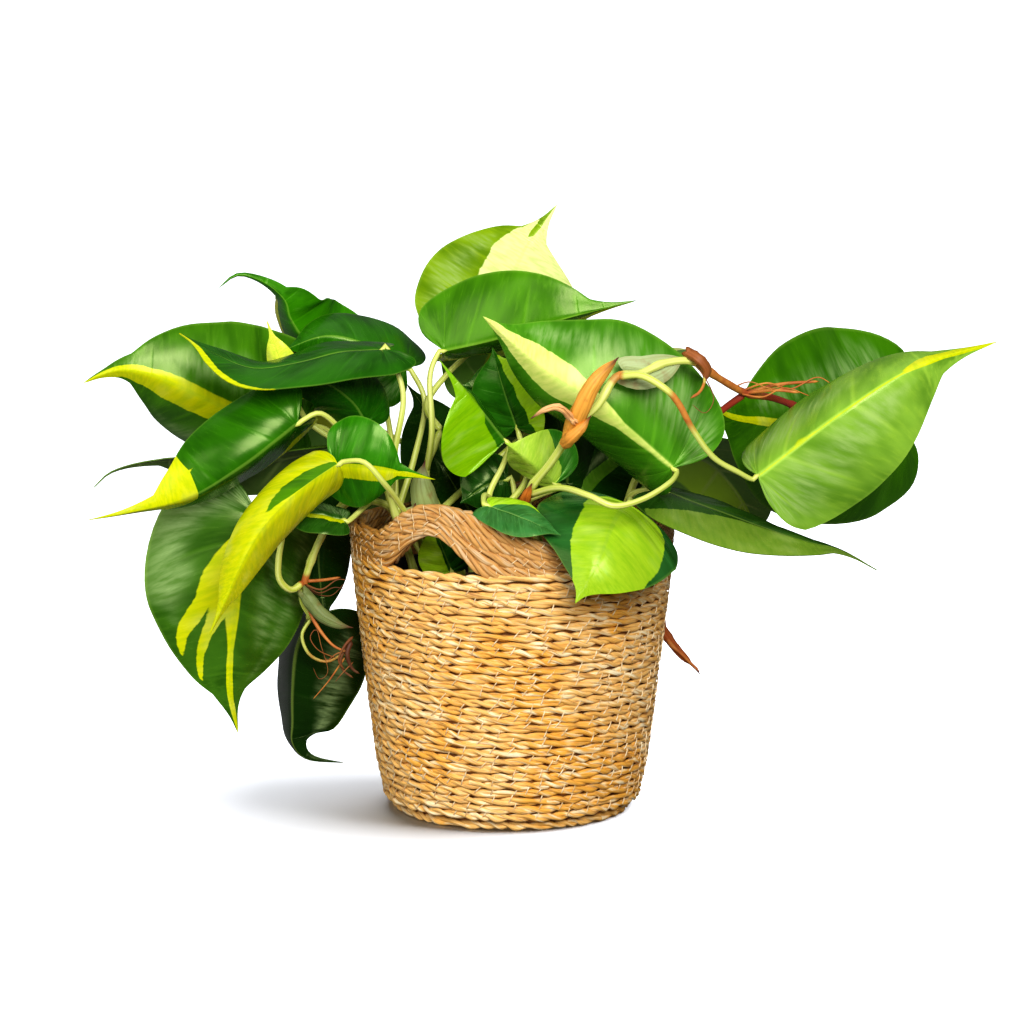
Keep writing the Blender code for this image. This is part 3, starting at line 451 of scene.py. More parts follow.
LOOKS = {
    "leaf_right_front": Look("#86B23A", YELLOW, (
        ((0, -0.008, 0.008), (0.42, -0.01, 0.01), (0.46, -0.06, 0.02), (0.5, -0.01, 0.01),
         (0.66, -0.02, 0.015), (0.71, -0.26, 0.08), (0.82, -0.5, 0.16), (0.92, -0.9, 0.5), (1, -1.4, 1.4)),),
        (((0.05, 0.1, 0.9), (0.3, 0.1, 0.85), (0.6, 0.05, 0.5)), ((0.1, -0.9, -0.3), (0.5, -0.7, -0.2)))),
    "leaf_right_back": Look("#3E7802", YELLOW, (
        ((0.62, -0.04, 0.05), (0.8, -0.1, 0.2), (0.92, -0.3, 0.5), (1, -0.6, 0.7)),),
        (((0.3, 0.4, 0.8), (0.7, 0.3, 0.6)),)),
    "leaf_right_low": Look("#2C5018", "#6E8A2C", (
        ((0.3, 0.8, 1.0), (0.42, 0.4, 1.1), (0.55, 0.1, 1.2), (0.7, 0.0, 1.4), (0.85, -0.3, 1.4),
         (0.95, -0.5, 1.4)),)),
    # leaf_centre_large: the pale band over its right half is a painted highlight
    "leaf_centre_large": Look("#4F8E1C", LIME_CREAM, (
        ((0, -0.02, 0.015), (0.25, -0.03, 0.015), (0.42, -0.05, 0.02), (0.5, -0.09, 0.03),
         (0.56, -0.26, 0.14), (0.62, -0.4, 0.3), (0.72, -0.5, 0.42), (0.86, -0.6, 0.6), (1, -1.4, 1.4)),),
        (((0.1, 0.15, 0.8), (0.4, 0.3, 0.9), (0.7, 0.5, 0.9)),)),
    "leaf_rim_front": Look("#2A6228", "#9ABE22", (
        ((0, -0.3, 0.2), (0.2, -0.6, 0.35), (0.45, -0.75, 0.45), (0.6, -0.95, 0.55), (0.75, -1.4, 0.8),
         (0.9, -1.4, 1.4), (1, -1.4, 1.4)),), (((0.05, 0.3, 0.8), (0.35, 0.4, 0.75)),)),
    "leaf_top_back": Look("#80A20E", CREAM, (
        ((0, -0.3, 1.4), (0.5, -0.4, 1.4), (0.7, -0.6, 1.4), (0.85, -1.0, 1.4), (1, -0.6, 1.4)),),
        (((0.2, -0.9, -0.4), (0.6, -0.9, -0.5)),),
        (((0.78, -0.25, 0.0), (0.86, -0.5, 0.1), (0.93, -1.2, 0.0), (1, -1.4, -0.3)),)),
    "leaf_top_front": Look("#4A860C", YELLOW, (
        ((0.72, 0.35, 1.4), (0.85, 0.2, 1.4), (1, 0, 1.4)),
        ((0, 0.05, 0.3), (0.2, 0.5, 1.2), (0.3, 0.9, 1.4)))),
    # leaf_cupped is lime over its left and its tip; the dark green of its right part is painted shade
    "leaf_cupped": Look("#2E6A0C", "#7EB004", (((0, -1.4, -0.3), (0.5, -1.4, -0.1), (1, -1.4, 1.4)),)),
    "leaf_small_heart": Look("#3E8424", "#B4D44A", (
        ((0.2, -1.4, 0.1), (0.45, -1.4, 0.5), (0.65, -1.4, 1.4), (1, -1.4, 1.4)),),
        (((0.0, 0.5, 0.7), (0.5, 0.6, 0.8)),)),
    "leaf_folded": Look("#2A6A10", LIME, (((0.3, 0.5, 1.4), (0.7, 0.4, 1.4)),)),
    "leaf_rim_small": Look("#3E7A3C", LIME, (((0, -1.4, 0.4), (0.35, -1.4, 0.0), (0.5, -1.4, -0.8)),)),
    "leaf_centre_low": Look("#1E4A10"),
    "leaf_inside_handle": Look("#2A6414", LIME, (
        ((0, -1.4, -0.1), (0.6, -1.4, -0.1), (0.85, -1.2, -0.5)),)),
    "leaf_centre_dark": Look("#1E5210"),
    "leaf_upper_left": Look("#368004", YELLOW, (
        ((0.2, -1.4, -0.95), (0.35, -1.4, -0.75), (0.55, -1.4, -0.6), (0.7, -1.4, -0.7),
         (0.8, -1.4, -0.95)),)),
    # leaf_upper_round: its pale band is a painted highlight
    "leaf_upper_round": Look("#2C6E08", YELLOW, (), (((0.2, -0.7, -0.3), (0.7, -0.7, -0.2)),)),
    "leaf_left_long": Look("#28660C", YELLOW, (
        ((0.52, -1.4, -1.0), (0.65, -1.4, -0.85), (0.8, -1.4, -0.65), (0.92, -1.4, -0.3), (1, -1.4, 0.6)),),
        (((0.0, 0.3, 1.2), (0.12, 0.4, 1.2)), ((0.0, -0.9, -0.3), (0.1, -0.9, -0.5)))),
    "leaf_far_left": Look("#467E0C", YELLOW, (
        ((0.34, -0.03, 0.03), (0.45, -0.18, 0.06), (0.58, -0.36, 0.12), (0.72, -0.5, 0.2),
         (0.84, -0.7, 0.4), (0.93, -1.4, 0.6), (1, -1.4, 0.4)),),
        (((0.3, 0.2, 0.6), (0.8, 0.3, 0.6)), ((0.3, -0.9, -0.5), (0.6, -0.95, -0.7)))),
    "leaf_mid_dark": Look("#236408", YELLOW, (
        ((0.44, 0.8, 1.4), (0.56, 0.4, 1.4), (0.7, 0, 1.4), (0.85, -0.6, 1.4), (1, -1.4, 1.4)),)),
    "leaf_spike": Look("#A6C43A", "#DDE84A", (ALL_OVER,)),
    "leaf_mid_left": Look("#2E6C04", YELLOW, (
        ((0.61, 0.45, 0.55), (0.615, -0.2, 1.1), (0.67, -0.5, 1.4), (0.76, -1.0, 1.4), (0.85, -1.4, 1.4),
         (1, -1.4, 1.4)),
        ((0.12, -1.4, -0.9), (0.25, -1.4, -0.6), (0.35, -1.4, -0.85)))),
    "leaf_left_tail": Look("#34560C"),
    "leaf_yellow": Look("#4E8408", YELLOW, (ALL_OVER,), (),
        (((0.16, 0.02, 0.05), (0.24, 0.02, 0.13), (0.32, 0.02, 0.22), (0.4, 0.02, 0.34),
          (0.46, 0.02, 0.4), (0.5, 0.08, 0.36)),)),
    "leaf_round_left": Look("#3E6C16", YELLOW, (
        ((0.3, -0.03, 0.06), (0.45, -0.05, 0.16), (0.58, -0.05, 0.13), (0.66, -0.03, 0.08),
         (0.74, -0.1, 0.12), (0.85, -0.25, 0.2), (1, -0.9, 0.5)),
        ((0.46, 0.02, 0.34), (0.52, 0.16, 0.5), (0.56, 0.4, 0.68), (0.6, 0.64, 0.84), (0.64, 0.82, 0.9)),
        ((0.52, 0.02, 0.3), (0.57, 0.12, 0.32), (0.62, 0.36, 0.52), (0.67, 0.56, 0.7), (0.72, 0.76, 0.84))),
        (((0.12, 0.2, 0.95), (0.3, 0.3, 0.95)), ((0.36, 0.5, 0.95), (0.5, 0.6, 0.95)),
         ((0.4, -0.5, -0.25), (0.6, -0.6, -0.3)), ((0.2, -0.8, -0.6), (0.7, -0.8, -0.6)))),
    # leaf_hanging's near-black green is its own dark green, darkened further as painted shade
    "leaf_hanging": Look("#0A2A02", YELLOW, (), (((0.3, -0.7, -0.5), (0.7, -0.8, -0.5)),)),
    "leaf_small_green": Look("#347E0C", YELLOW, (
        ((0, -0.02, 0.22), (0.5, -0.05, 0.3), (0.8, -0.1, 0.5), (1, -0.8, 1.2)),)),
    "leaf_small_dark": Look("#2E5E14", YELLOW, (((0, -0.3, 0.0), (0.6, -0.3, 0.0), (1, -0.6, 0.2)),),
                            (((0, 0.1, 0.9), (0.9, 0.1, 0.9)),)),
    # The blades in the shade between the stems are painted very dark green, as painted shade
    "leaf_shade_left": Look("#123608"),
    "leaf_shade_inner": Look("#1A3E0C"),
    "leaf_shade_low": Look("#163A0A"),
    "leaf_shade_right": Look("#1C4A0E", "#5E8E20", (((0.1, -0.05, 0.2), (0.5, -0.2, 0.1), (1, -0.3, 0.3)),)),
    "leaf_shade_centre": Look("#1E4A10"),
    "leaf_shade_side": Look("#1C480C"),
    "dried_sheath_right": Look("#F0AA44"),
    "dried_sheath_left": Look("#76844C"),
    "dried_curl_side": Look("#E8B478"),
    "dried_curl_low": Look("#E8A040"),
    "dried_curl_joint": Look("#9A5A28"),
    "pale_membrane": Look("#A8B680"),
    "orange_sheath": Look("#C8741E"),
    "root_spear": Look("#B4602C"),
    "pale_sheath_inner": Look("#9AA866"),
    "pale_sheath_low": Look("#A8B470"),
    "leaf_back_high": Look("#5A9418", YELLOW, (((0.3, -0.1, 0.1), (0.7, -0.4, 0.15), (1, -1.2, 0.4)),)),
    "leaf_back_left_side": Look("#4A8410", YELLOW, (((0.2, 0.0, 0.2), (0.6, -0.1, 0.5), (1, -0.8, 1.2)),)),
    "leaf_back_left_low": Look("#3A7410", LIME, (((0, -0.1, 0.1), (0.5, -0.3, 0.1), (1, -0.8, 0.4)),)),
    "leaf_back_low": Look("#5A9018", YELLOW, (((0.1, -0.05, 0.2), (0.5, 0.05, 0.7), (0.9, -0.3, 1.4)),)),
    "leaf_back_right_low": Look("#427E12", LIME, (((0.3, -0.5, -0.1), (0.6, -0.8, 0.0), (1, -1.4, 0.4)),)),
    "leaf_back_right_high": Look("#6A9E22", LIME_CREAM, (
        ((0.2, -0.1, 0.1), (0.6, -0.2, 0.4), (1, -1, 1.2)),)),
}

# Where stems have turned woody or red, as (centre, radius, amount)
WOODY = (((94, -48, 208), 19, 1.0), ((107, -34, 200), 8, 1.0), ((141, -30, 205), 38, 1.0),
         ((7, -50, 155), 4, 0.6), ((46, -78, 212), 5, 0.5), ((26, -81, 186), 6, 0.5),
         ((90, 17, 60), 40, 0.9), ((-97, -12, 109), 4, 0.8), ((-80, -6, 110), 16, 1.0),
         ((-88, 2, 68), 15, 0.5), ((79, -74, 202), 14, 0.8))
RED = (((98, -28, 190), 15, 1.0), ((124, -18, 195), 12, 1.0), ((88, -26, 184), 12, 1.0))

# Stage, in metres: a floor that is flat under the basket and swept up behind it, and the lights, as
# (name, place, what it points at, size, setting of its power, whether it lights only the floor)
FLOOR_LENGTH = 6.0
FLOOR_FRONT = 2.6
FLOOR_BACK = 1.6
FLOOR_HALF_WIDTH = 4.5
SWEEP_RADIUS = 1.2
AIM = (0, 0, 0.14)
CAMERA_PLACE = (0, -1.4835, 0.3617)
LIGHTS = (
    ("key_softbox", (0.3, -1.6, 0.95), AIM, 0.8, "key_power", False),
    ("fill_softbox", (-1.3, -1.3, 0.6), AIM, 1.4, "fill_power", False),
    ("top_softbox", (-0.2, 0.3, 1.7), AIM, 1.4, "top_power", False),
    ("floor_light", (1.0, -0.12, 1.15), (0, 0, 0), 1.3, "floor_power", True),
    ("backdrop_light", (0.0, 1.6, 3.0), (0, 2.6, 0.4), 2.4, "backdrop_power", True),
)


class BasketSettings(bpy.types.PropertyGroup):
    """Sizes and colours of the woven basket."""

    strand_radius: FloatProperty(
        name="Strand Radius", description="Thickness of one of the two strands of a row",
        default=1.32 * MM, unit="LENGTH", precision=5)
    strand_offset: FloatProperty(
        name="Strand Offset", description="Distance of a strand from the middle of its row",
        default=0.85 * MM, unit="LENGTH", precision=5)
    twists: IntProperty(
        name="Twists", description="Full twists of a row's strands on the way round the basket",
        default=20)
    rope_radius: FloatProperty(
        name="Rope Strand Radius", description="Thickness of one of the four strands of a rim or base rope",
        default=1.3 * MM, unit="LENGTH", precision=5)
    rope_offset: FloatProperty(
        name="Rope Strand Offset", description="Distance of a strand from the middle of its rope",
        default=1.7 * MM, unit="LENGTH", precision=5)
    rope_twists: IntProperty(
        name="Rope Twists", description="Full twists of a rope's strands on the way round the rim",
        default=16)
    stitches: IntProperty(
        name="Stitches", description="Binding threads over each row", default=54)
    stray_fibres: IntProperty(
        name="Stray Fibres", description="Loose ends that stand off the wall", default=70)
    straw: FloatVectorProperty(
        name="Straw", description="Main colour of the dried grass", subtype="COLOR", size=4,
        default=colour("#F2BD6A"))
    straw_golden: FloatVectorProperty(
        name="Golden Straw", description="Yellower stretches of the wall", subtype="COLOR", size=4,
        default=colour("#EEAC3E"))
    straw_pale: FloatVectorProperty(
        name="Pale Straw", description="Bleached stalks", subtype="COLOR", size=4,
        default=colour("#FCE8BC"))
    straw_dark: FloatVectorProperty(
        name="Dark Straw", description="Browned stalks", subtype="COLOR", size=4,
        default=colour("#B67E40"))
    thread: FloatVectorProperty(
        name="Thread", description="Binding thread", subtype="COLOR", size=4,
        default=colour("#F4E2BC"))


class LeafSettings(bpy.types.PropertyGroup):
    """Sizes of the blades' finer form."""

    thickness: FloatProperty(
        name="Thickness", description="Thickness of a blade", default=0.55 * MM, unit="LENGTH",
        precision=5)
    quilting: FloatProperty(
        name="Quilting", description="How far the skin stands up between the side veins",
        default=0.85 * MM, unit="LENGTH", precision=5)
    groove: FloatProperty(
        name="Midrib Groove", description="Depth of the channel along the midrib",
        default=0.7 * MM, unit="LENGTH", precision=5)
    unevenness: FloatProperty(
        name="Unevenness", description="Height of the soft dents in a blade",
        default=1.3 * MM, unit="LENGTH", precision=5)


class StemSettings(bpy.types.PropertyGroup):
    """Sizes and colours of the stems."""

    joint_spacing: FloatProperty(
        name="Joint Spacing", description="Distance between the swollen joints of a stem",
        default=31 * MM, unit="LENGTH", precision=4)
    joint_swelling: FloatProperty(
        name="Joint Swelling", description="How much thicker a stem is at a joint",
        default=0.45 * MM, unit="LENGTH", precision=5)
    green: FloatVectorProperty(
        name="Green", description="Young stems", subtype="COLOR", size=4, default=colour("#BECB44"))
    # The pale tone is a painted highlight, laid in streaks along the ribs of young stems
    pale: FloatVectorProperty(
        name="Pale", description="Lit side of young stems", subtype="COLOR", size=4,
        default=colour("#E6E98A"))
    woody: FloatVectorProperty(
        name="Woody", description="Old, ripened stems", subtype="COLOR", size=4,
        default=colour("#B0602A"))
    red: FloatVectorProperty(
        name="Red", description="Reddened petioles", subtype="COLOR", size=4,
        default=colour("#A03A26"))


class SoilSettings(bpy.types.PropertyGroup):
    """Sizes and colour of the potting soil."""

    crumbs: IntProperty(name="Crumbs", description="Loose crumbs of bark and peat", default=260)
    lumpiness: FloatProperty(
        name="Lumpiness", description="Height of the soil's lumps", default=1.6 * MM, unit="LENGTH",
        precision=5)
    peat: FloatVectorProperty(
        name="Peat", description="Moist peat", subtype="COLOR", size=4, default=colour("#3A2A1E"))


class StageSettings(bpy.types.PropertyGroup):
    """Light and camera."""

    key_power: FloatProperty(name="Key Light", description="Power of the front softbox", default=32.0)
    fill_power: FloatProperty(name="Fill Light", description="Power of the fill light", default=15.5)
    top_power: FloatProperty(name="Top Light", description="Power of the light above", default=2.0)
    floor_power: FloatProperty(
        name="Floor Light", description="Power of the light that whitens the floor", default=46.0)
    backdrop_power: FloatProperty(
        name="Backdrop Light", description="Power of the light on the backdrop", default=110.0)
    ambient: FloatProperty(name="Ambient", description="Strength of the room's light", default=0.15)
    lens: FloatProperty(name="Lens", description="Focal length in millimetres", default=112.2)


def plug(tree, made, inputs):
    """Gives a node's inputs their values or links, in order or by their keys."""
    for key, value in inputs.items() if isinstance(inputs, dict) else enumerate(inputs):
        if isinstance(value, bpy.types.NodeSocket):
            tree.links.new(value, made.inputs[key])
        else:
            made.inputs[key].default_value = value


def node(tree, kind, inputs=(), output=0, **settings):
    """Adds a shader node with its settings and its inputs' values or links, and gives one output."""
    made = tree.nodes.new("ShaderNode" + kind)
    for key, value in settings.items():
        setattr(made, key, value)
    plug(tree, made, inputs)
    return made.outputs[output]


def new_material(name):
    """An empty Principled material and its tree."""
    made = bpy.data.materials.new(name)
    made.use_nodes = True
    return made, made.node_tree


def finish_material(made, tone, roughness, relief=None, strength=1.0, depth=MM):
    """Gives a material its colour, its roughness and its fine relief, and returns its shader."""
    tree = made.node_tree
    shader = tree.nodes["Principled BSDF"]
    plug(tree, shader, {"Base Color": tone, "Roughness": roughness})
    if relief is not None:
        bump = node(tree, "Bump", {"Height": relief, "Strength": strength, "Distance": depth})
        plug(tree, shader, {"Normal": bump})
    return shader


def laid_over(tree, tone, over, share, amount=1.0):
    """A tone with another laid over it by a share, and never more than the amount."""
    share = node(tree, "Math", (share, amount), operation="MULTIPLY")
    return node(tree, "Mix", {0: share, 6: tone, 7: over}, 2, data_type="RGBA")


def coat(tree, tone, over, field, low, high, amount=1.0):
    """A tone with another laid over it where a field goes from low to high."""
    share = node(tree, "MapRange", (field, low, high, 0.0, amount), interpolation_type="SMOOTHSTEP")
    return node(tree, "Mix", {0: share, 6: tone, 7: over}, 2, data_type="RGBA")


def shade_of(tree, tone, factors):
    """A darker, lighter or warmer shade of a tone."""
    return node(tree, "Mix", {0: 1.0, 6: tone, 7: (*factors, 1.0)}, 2, data_type="RGBA",
                blend_type="MULTIPLY")


def uv_parts(tree):
    """The place across and the place along a piece, from its own UV map."""
    uv = node(tree, "UVMap", uv_map="UVMap")
    return node(tree, "SeparateXYZ", (uv,)).node.outputs[:2]


def speckle(tree, scale, detail=2.0):
    """Even noise in the piece's own space, of so many grains to the metre."""
    place = node(tree, "TexCoord", output="Object")
    return node(tree, "TexNoise", {"Vector": place, "Scale": scale, "Detail": detail})


def fibre_noise(tree, place, stretch):
    """Noise drawn out by a different number of waves along each axis."""
    place = node(tree, "Mapping", {"Vector": place, "Scale": stretch})
    return node(tree, "TexNoise", {"Vector": place, "Scale": 1.0, "Detail": 3.0})


def streaks(tree, sideways, along, seed, across_waves, along_waves, detail):
    """Noise drawn out across a piece, as along the side veins of a blade, which are rows of equal v."""
    place = node(tree, "CombineXYZ", (
        node(tree, "Math", (sideways, across_waves), operation="MULTIPLY"),
        node(tree, "Math", (along, along_waves), operation="MULTIPLY"), seed))
    return node(tree, "TexNoise", {"Vector": place, "Scale": 1.0, "Detail": detail})


def out_from_midrib(tree, sideways):
    """How far out a blade's point is, from 0 at the midrib to 1 at the margin."""
    place = node(tree, "Math", (sideways, 2.0, -1.0), operation="MULTIPLY_ADD")
    return node(tree, "Math", (place,), operation="ABSOLUTE")


def side_vein_lines(tree, out, along, width, fade):
    """Lines along the side veins, full up to the fade and gone at the margin."""
    count = node(tree, "Math", (along, SIDE_VEINS), operation="MULTIPLY")
    away = node(tree, "Math", (count, 0.5), operation="PINGPONG")
    line = node(tree, "MapRange", (away, width, 0.0), interpolation_type="SMOOTHSTEP")
    inner = node(tree, "MapRange", (out, 1.0, fade), interpolation_type="SMOOTHSTEP")
    return node(tree, "Math", (line, inner), operation="MULTIPLY")


def leaf_skin():
    """Waxy upper face of a leaf: smooth and glossy over soft green flesh, with streaked variegation."""
    made, tree = new_material("leaf_waxy_upper_face")
    sideways, along = uv_parts(tree)
    out = out_from_midrib(tree, sideways)
    skin = node(tree, "Attribute", output="Color", attribute_name="skin")
    patch = node(tree, "Attribute", output="Color", attribute_name="patch_colour")
    patch_field = node(tree, "Attribute", output="Fac", attribute_name="patch")
    pale_and_highlight_field = node(tree, "Attribute", output="Fac", attribute_name="pale")
    seed = node(tree, "Attribute", output="Fac", attribute_name="seed")
    fine = streaks(tree, sideways, along, seed, 7.0, 80.0, 3.0)
    broad = streaks(tree, sideways, along, seed, 2.4, 12.0, 2.0)
    veins = side_vein_lines(tree, out, along, 0.06, 0.4)

    # Streaks, side veins and a paler edge on the green
    green = coat(tree, shade_of(tree, skin, (0.52, 0.62, 0.44)), skin, broad, 0.3, 0.62)
    green = coat(tree, green, shade_of(tree, skin, (1.5, 1.3, 1.2)), fine, 0.42, 0.75, 0.3)
    green = laid_over(tree, green, shade_of(tree, skin, (1.7, 1.45, 1.5)), veins, 0.4)
    # Milky pale bands: milky variegation, and on some blades painted highlights
    milky_and_highlight = node(tree, "Math", (broad, 0.6, pale_and_highlight_field), operation="MULTIPLY_ADD")
    milky_and_highlight = node(tree, "MapRange", (milky_and_highlight, 0.18, 0.55), interpolation_type="SMOOTHSTEP")
    broken = node(tree, "MapRange", (fine, 0.25, 0.7), interpolation_type="SMOOTHSTEP")
    milky_and_highlight = node(tree, "Math", (milky_and_highlight, broken), operation="MULTIPLY")
    green = laid_over(tree, green, colour("#A9C084"), milky_and_highlight, 0.42)
    green = coat(tree, green, colour("#9CC050"), out, 0.955, 1.0, 0.2)

    # The patches end in soft teeth along the veins, and cleanly beside the midrib
    teeth = node(tree, "Math", (fine, 0.05, -0.09), operation="MULTIPLY_ADD")
    teeth = node(tree, "Math", (broad, 0.13, teeth), operation="MULTIPLY_ADD")
    reach = node(tree, "MapRange", (out, 0.0, 0.3), interpolation_type="SMOOTHSTEP")
    edge = node(tree, "Math", (teeth, reach, patch_field), operation="MULTIPLY_ADD")
    inside = node(tree, "MapRange", (edge, -0.012, 0.012), interpolation_type="SMOOTHSTEP")
    patched = coat(tree, shade_of(tree, patch, (0.78, 0.88, 0.7)), patch, fine, 0.3, 0.62)
    patched = coat(tree, patched, colour("#EEF3A8"), broad, 0.5, 0.8, 0.16)
    whole = node(tree, "Mix", {0: inside, 6: green, 7: patched}, 2, data_type="RGBA")

    # The midrib is paler than the green, and shows less in a patch
    rib = node(tree, "Mix", {0: 0.25, 6: shade_of(tree, skin, (1.7, 1.5, 1.5)), 7: colour("#BFD468")}, 2,
               data_type="RGBA")
    on_rib = node(tree, "MapRange", (out, 0.05, 0.015), interpolation_type="SMOOTHSTEP")
    shows = node(tree, "Math", (inside, -0.55, 0.7), operation="MULTIPLY_ADD")
    on_rib = node(tree, "Math", (on_rib, shows), operation="MULTIPLY")
    whole = node(tree, "Mix", {0: on_rib, 6: whole, 7: rib}, 2, data_type="RGBA")

    roughness = node(tree, "Math", (fine, 0.18, 0.16), operation="MULTIPLY_ADD")
    height = node(tree, "Math", (fine, 0.5), operation="MULTIPLY")
    height = node(tree, "Math", (veins, -0.8, height), operation="MULTIPLY_ADD")
    shader = finish_material(made, whole, roughness, height, 0.3, 0.3 * MM)
    plug(tree, shader, {"Specular IOR Level": 0.4, "Specular Tint": colour("#E4F2A8")})
    return made


def leaf_underside():
    """Matt underside of a leaf: paler, with raised veins."""
    made, tree = new_material("leaf_matt_underside")
    sideways, along = uv_parts(tree)
    out = out_from_midrib(tree, sideways)
    skin = node(tree, "Attribute", output="Color", attribute_name="skin")
    patch = node(tree, "Attribute", output="Color", attribute_name="patch_colour")
    patch_field = node(tree, "Attribute", output="Fac", attribute_name="patch")
    mottle = speckle(tree, 260.0, 3.0)
    midrib = node(tree, "MapRange", (out, 0.06, 0.02), interpolation_type="SMOOTHSTEP")
    lines = node(tree, "Math", (side_vein_lines(tree, out, along, 0.08, 0.2), midrib), operation="MAXIMUM")
    pale = node(tree, "Mix", {0: 0.32, 6: skin, 7: colour("#93AE5C")}, 2, data_type="RGBA")
    greener = node(tree, "Mix", {0: 0.25, 6: pale, 7: skin}, 2, data_type="RGBA")
    tone = coat(tree, greener, pale, mottle, 0.3, 0.75)
    tone = coat(tree, tone, patch, patch_field, -0.03, 0.03, 0.75)
    tone = laid_over(tree, tone, colour("#B4C878"), lines, 0.4)
    height = node(tree, "Math", (mottle, 0.25), operation="MULTIPLY")
    height = node(tree, "Math", (lines, 0.8, height), operation="MULTIPLY_ADD")
    finish_material(made, tone, 0.55, height, 0.4, 0.3 * MM)
    return made


def stem_skin(settings):
    """Stem skin: smooth and juicy when young, with a painted highlight along the ribs, ribbed and woody or
    red where ripened.
    """
    made, tree = new_material("stem_green_to_woody")
    ribs = fibre_noise(tree, node(tree, "UVMap", uv_map="UVMap"), (9.0, 1.2, 1.0))
    blotches = speckle(tree, 120.0, 3.0)
    woody = node(tree, "Attribute", output="Fac", attribute_name="woody")
    red = node(tree, "Attribute", output="Fac", attribute_name="red")
    old = node(tree, "Attribute", output="Fac", attribute_name="burnt")
    # Young stems: green, with the pale tone along the ribs as a painted highlight
    fresh = coat(tree, tuple(settings.green), tuple(settings.pale), ribs, 0.3, 0.7)
    aged = coat(tree, tuple(settings.woody), colour("#D08A3C"), blotches, 0.35, 0.7)
    edge = node(tree, "Math", (blotches, 0.5, woody), operation="MULTIPLY_ADD")
    tone = coat(tree, fresh, aged, edge, 0.5, 0.85)
    tone = coat(tree, tone, tuple(settings.red), red, 0.1, 0.6)
    tone = laid_over(tree, tone, colour("#3E1E0E"), old)
    roughness = node(tree, "Math", (woody, 0.25, 0.38), operation="MULTIPLY_ADD")
    finish_material(made, tone, roughness, ribs, 0.35, 0.4 * MM)
    return made


def dried_skin():
    """Dried leaf sheath: papery, orange-brown, with dark tips and fibres along it."""
    made, tree = new_material("sheath_dried_paper")
    fibres = fibre_noise(tree, node(tree, "UVMap", uv_map="UVMap"), (16.0, 2.0, 1.0))
    burnt = node(tree, "Attribute", output="Fac", attribute_name="burnt")
    skin = node(tree, "Attribute", output="Color", attribute_name="skin")
    tone = coat(tree, shade_of(tree, skin, (0.84, 0.78, 0.68)), shade_of(tree, skin, (1.06, 1.08, 1.1)),
                fibres, 0.3, 0.7)
    tone = coat(tree, tone, colour("#8A4A1C"), speckle(tree, 160.0), 0.55, 0.8, 0.5)
    tone = coat(tree, tone, colour("#5A2A16"), burnt, 0.2, 0.9)
    finish_material(made, tone, 0.6, fibres, 0.6, 0.4 * MM)
    return made


def grass_stalks(name, settings, brown_and_shade):
    """Dried seagrass: flat twisted stalks with fine fibres along them, bleached and browned in runs."""
    made, tree = new_material(name)
    sideways, along = uv_parts(tree)
    run = node(tree, "Attribute", output="Fac", attribute_name="run")
    # Fibres along the stalk: 0.4 mm apart round it, 10 mm long
    fibres = streaks(tree, sideways, along, node(tree, "Math", (run, 9.0), operation="MULTIPLY"),
                     44.0, 22.0, 3.0)
    tones = streaks(tree, sideways, along, node(tree, "Math", (run, 31.0), operation="MULTIPLY"),
                    40.0, 3.0, 2.0)
    pale = tuple(settings.straw_pale)
    tone = coat(tree, tuple(settings.straw), tuple(settings.straw_golden), speckle(tree, 22.0), 0.42, 0.62)
    tone = coat(tree, tone, tuple(settings.straw_dark), tones, 0.44, 0.2)
    tone = coat(tree, tone, pale, tones, 0.48, 0.72)
    tone = coat(tree, tone, colour("#8A5C30"), fibres, 0.48, 0.28, 0.6)
    tone = coat(tree, tone, pale, fibres, 0.55, 0.8, 0.5)
    # Browned by a share: on the rim, partly its own brown twine and partly painted shade
    tone = node(tree, "Mix", {0: brown_and_shade, 6: tone, 7: colour("#A8703A")}, 2, data_type="RGBA")
    finish_material(made, tone, 0.62, fibres, 0.9, 0.5 * MM)
    return made


def grass_lining(settings):
    """The grass behind the outer strands, dark brown as painted shade where it shows between them."""
    made, tree = new_material("seagrass_lining_dark")
    fibres = fibre_noise(tree, node(tree, "TexCoord", output="Object"), (60.0, 60.0, 700.0))
    tone = coat(tree, colour("#7E5228"), tuple(settings.straw_dark), fibres, 0.35, 0.7)
    finish_material(made, tone, 0.8, fibres, 0.8, 0.8 * MM)
    return made


def thread_skin(settings):
    """Binding thread: thin pale twisted plant fibre."""
    made, tree = new_material("thread_plant_fibre")
    tone = coat(tree, colour("#D2AC74"), tuple(settings.thread), speckle(tree, 500.0), 0.35, 0.7)
    finish_material(made, tone, 0.7)
    return made


def soil_skin(settings):
    """Moist peat: dark and rough, with lighter crumbs."""
    made, tree = new_material("soil_moist_peat")
    grains = speckle(tree, 420.0, 5.0)
    tone = coat(tree, tuple(settings.peat), colour("#6A4C33"), grains, 0.4, 0.75)
    finish_material(made, tone, 0.9, grains)
    return made


def pot_skin():
    """Moulded polypropylene: matt black with a fine texture from the mould."""
    made, tree = new_material("pot_moulded_polypropylene")
    tone = coat(tree, colour("#16171A"), colour("#33302C"), speckle(tree, 60.0, 4.0), 0.5, 0.8)
    finish_material(made, tone, 0.5, speckle(tree, 900.0), 0.3, 0.1 * MM)
    return made


def deselect():
    """Deselects everything, because an operator acts on all that is selected."""
    for obj in bpy.context.selected_objects:
        obj.select_set(False)


def between(table, at):
    """The value at a place in a table of (place, values...) rows, on straight lines between them."""
    if at <= table[0][0]:
        return table[0][1:]
    for first, second in zip(table, table[1:]):
        if at <= second[0]:
            share = (at - first[0]) / (second[0] - first[0])
            return tuple(a + (b - a) * share for a, b in zip(first[1:], second[1:]))
    return table[-1][1:]


def wall_radius(height):
    """The radius of the basket's outer face at a height."""
    return between(WALL_RADII, height)[0]


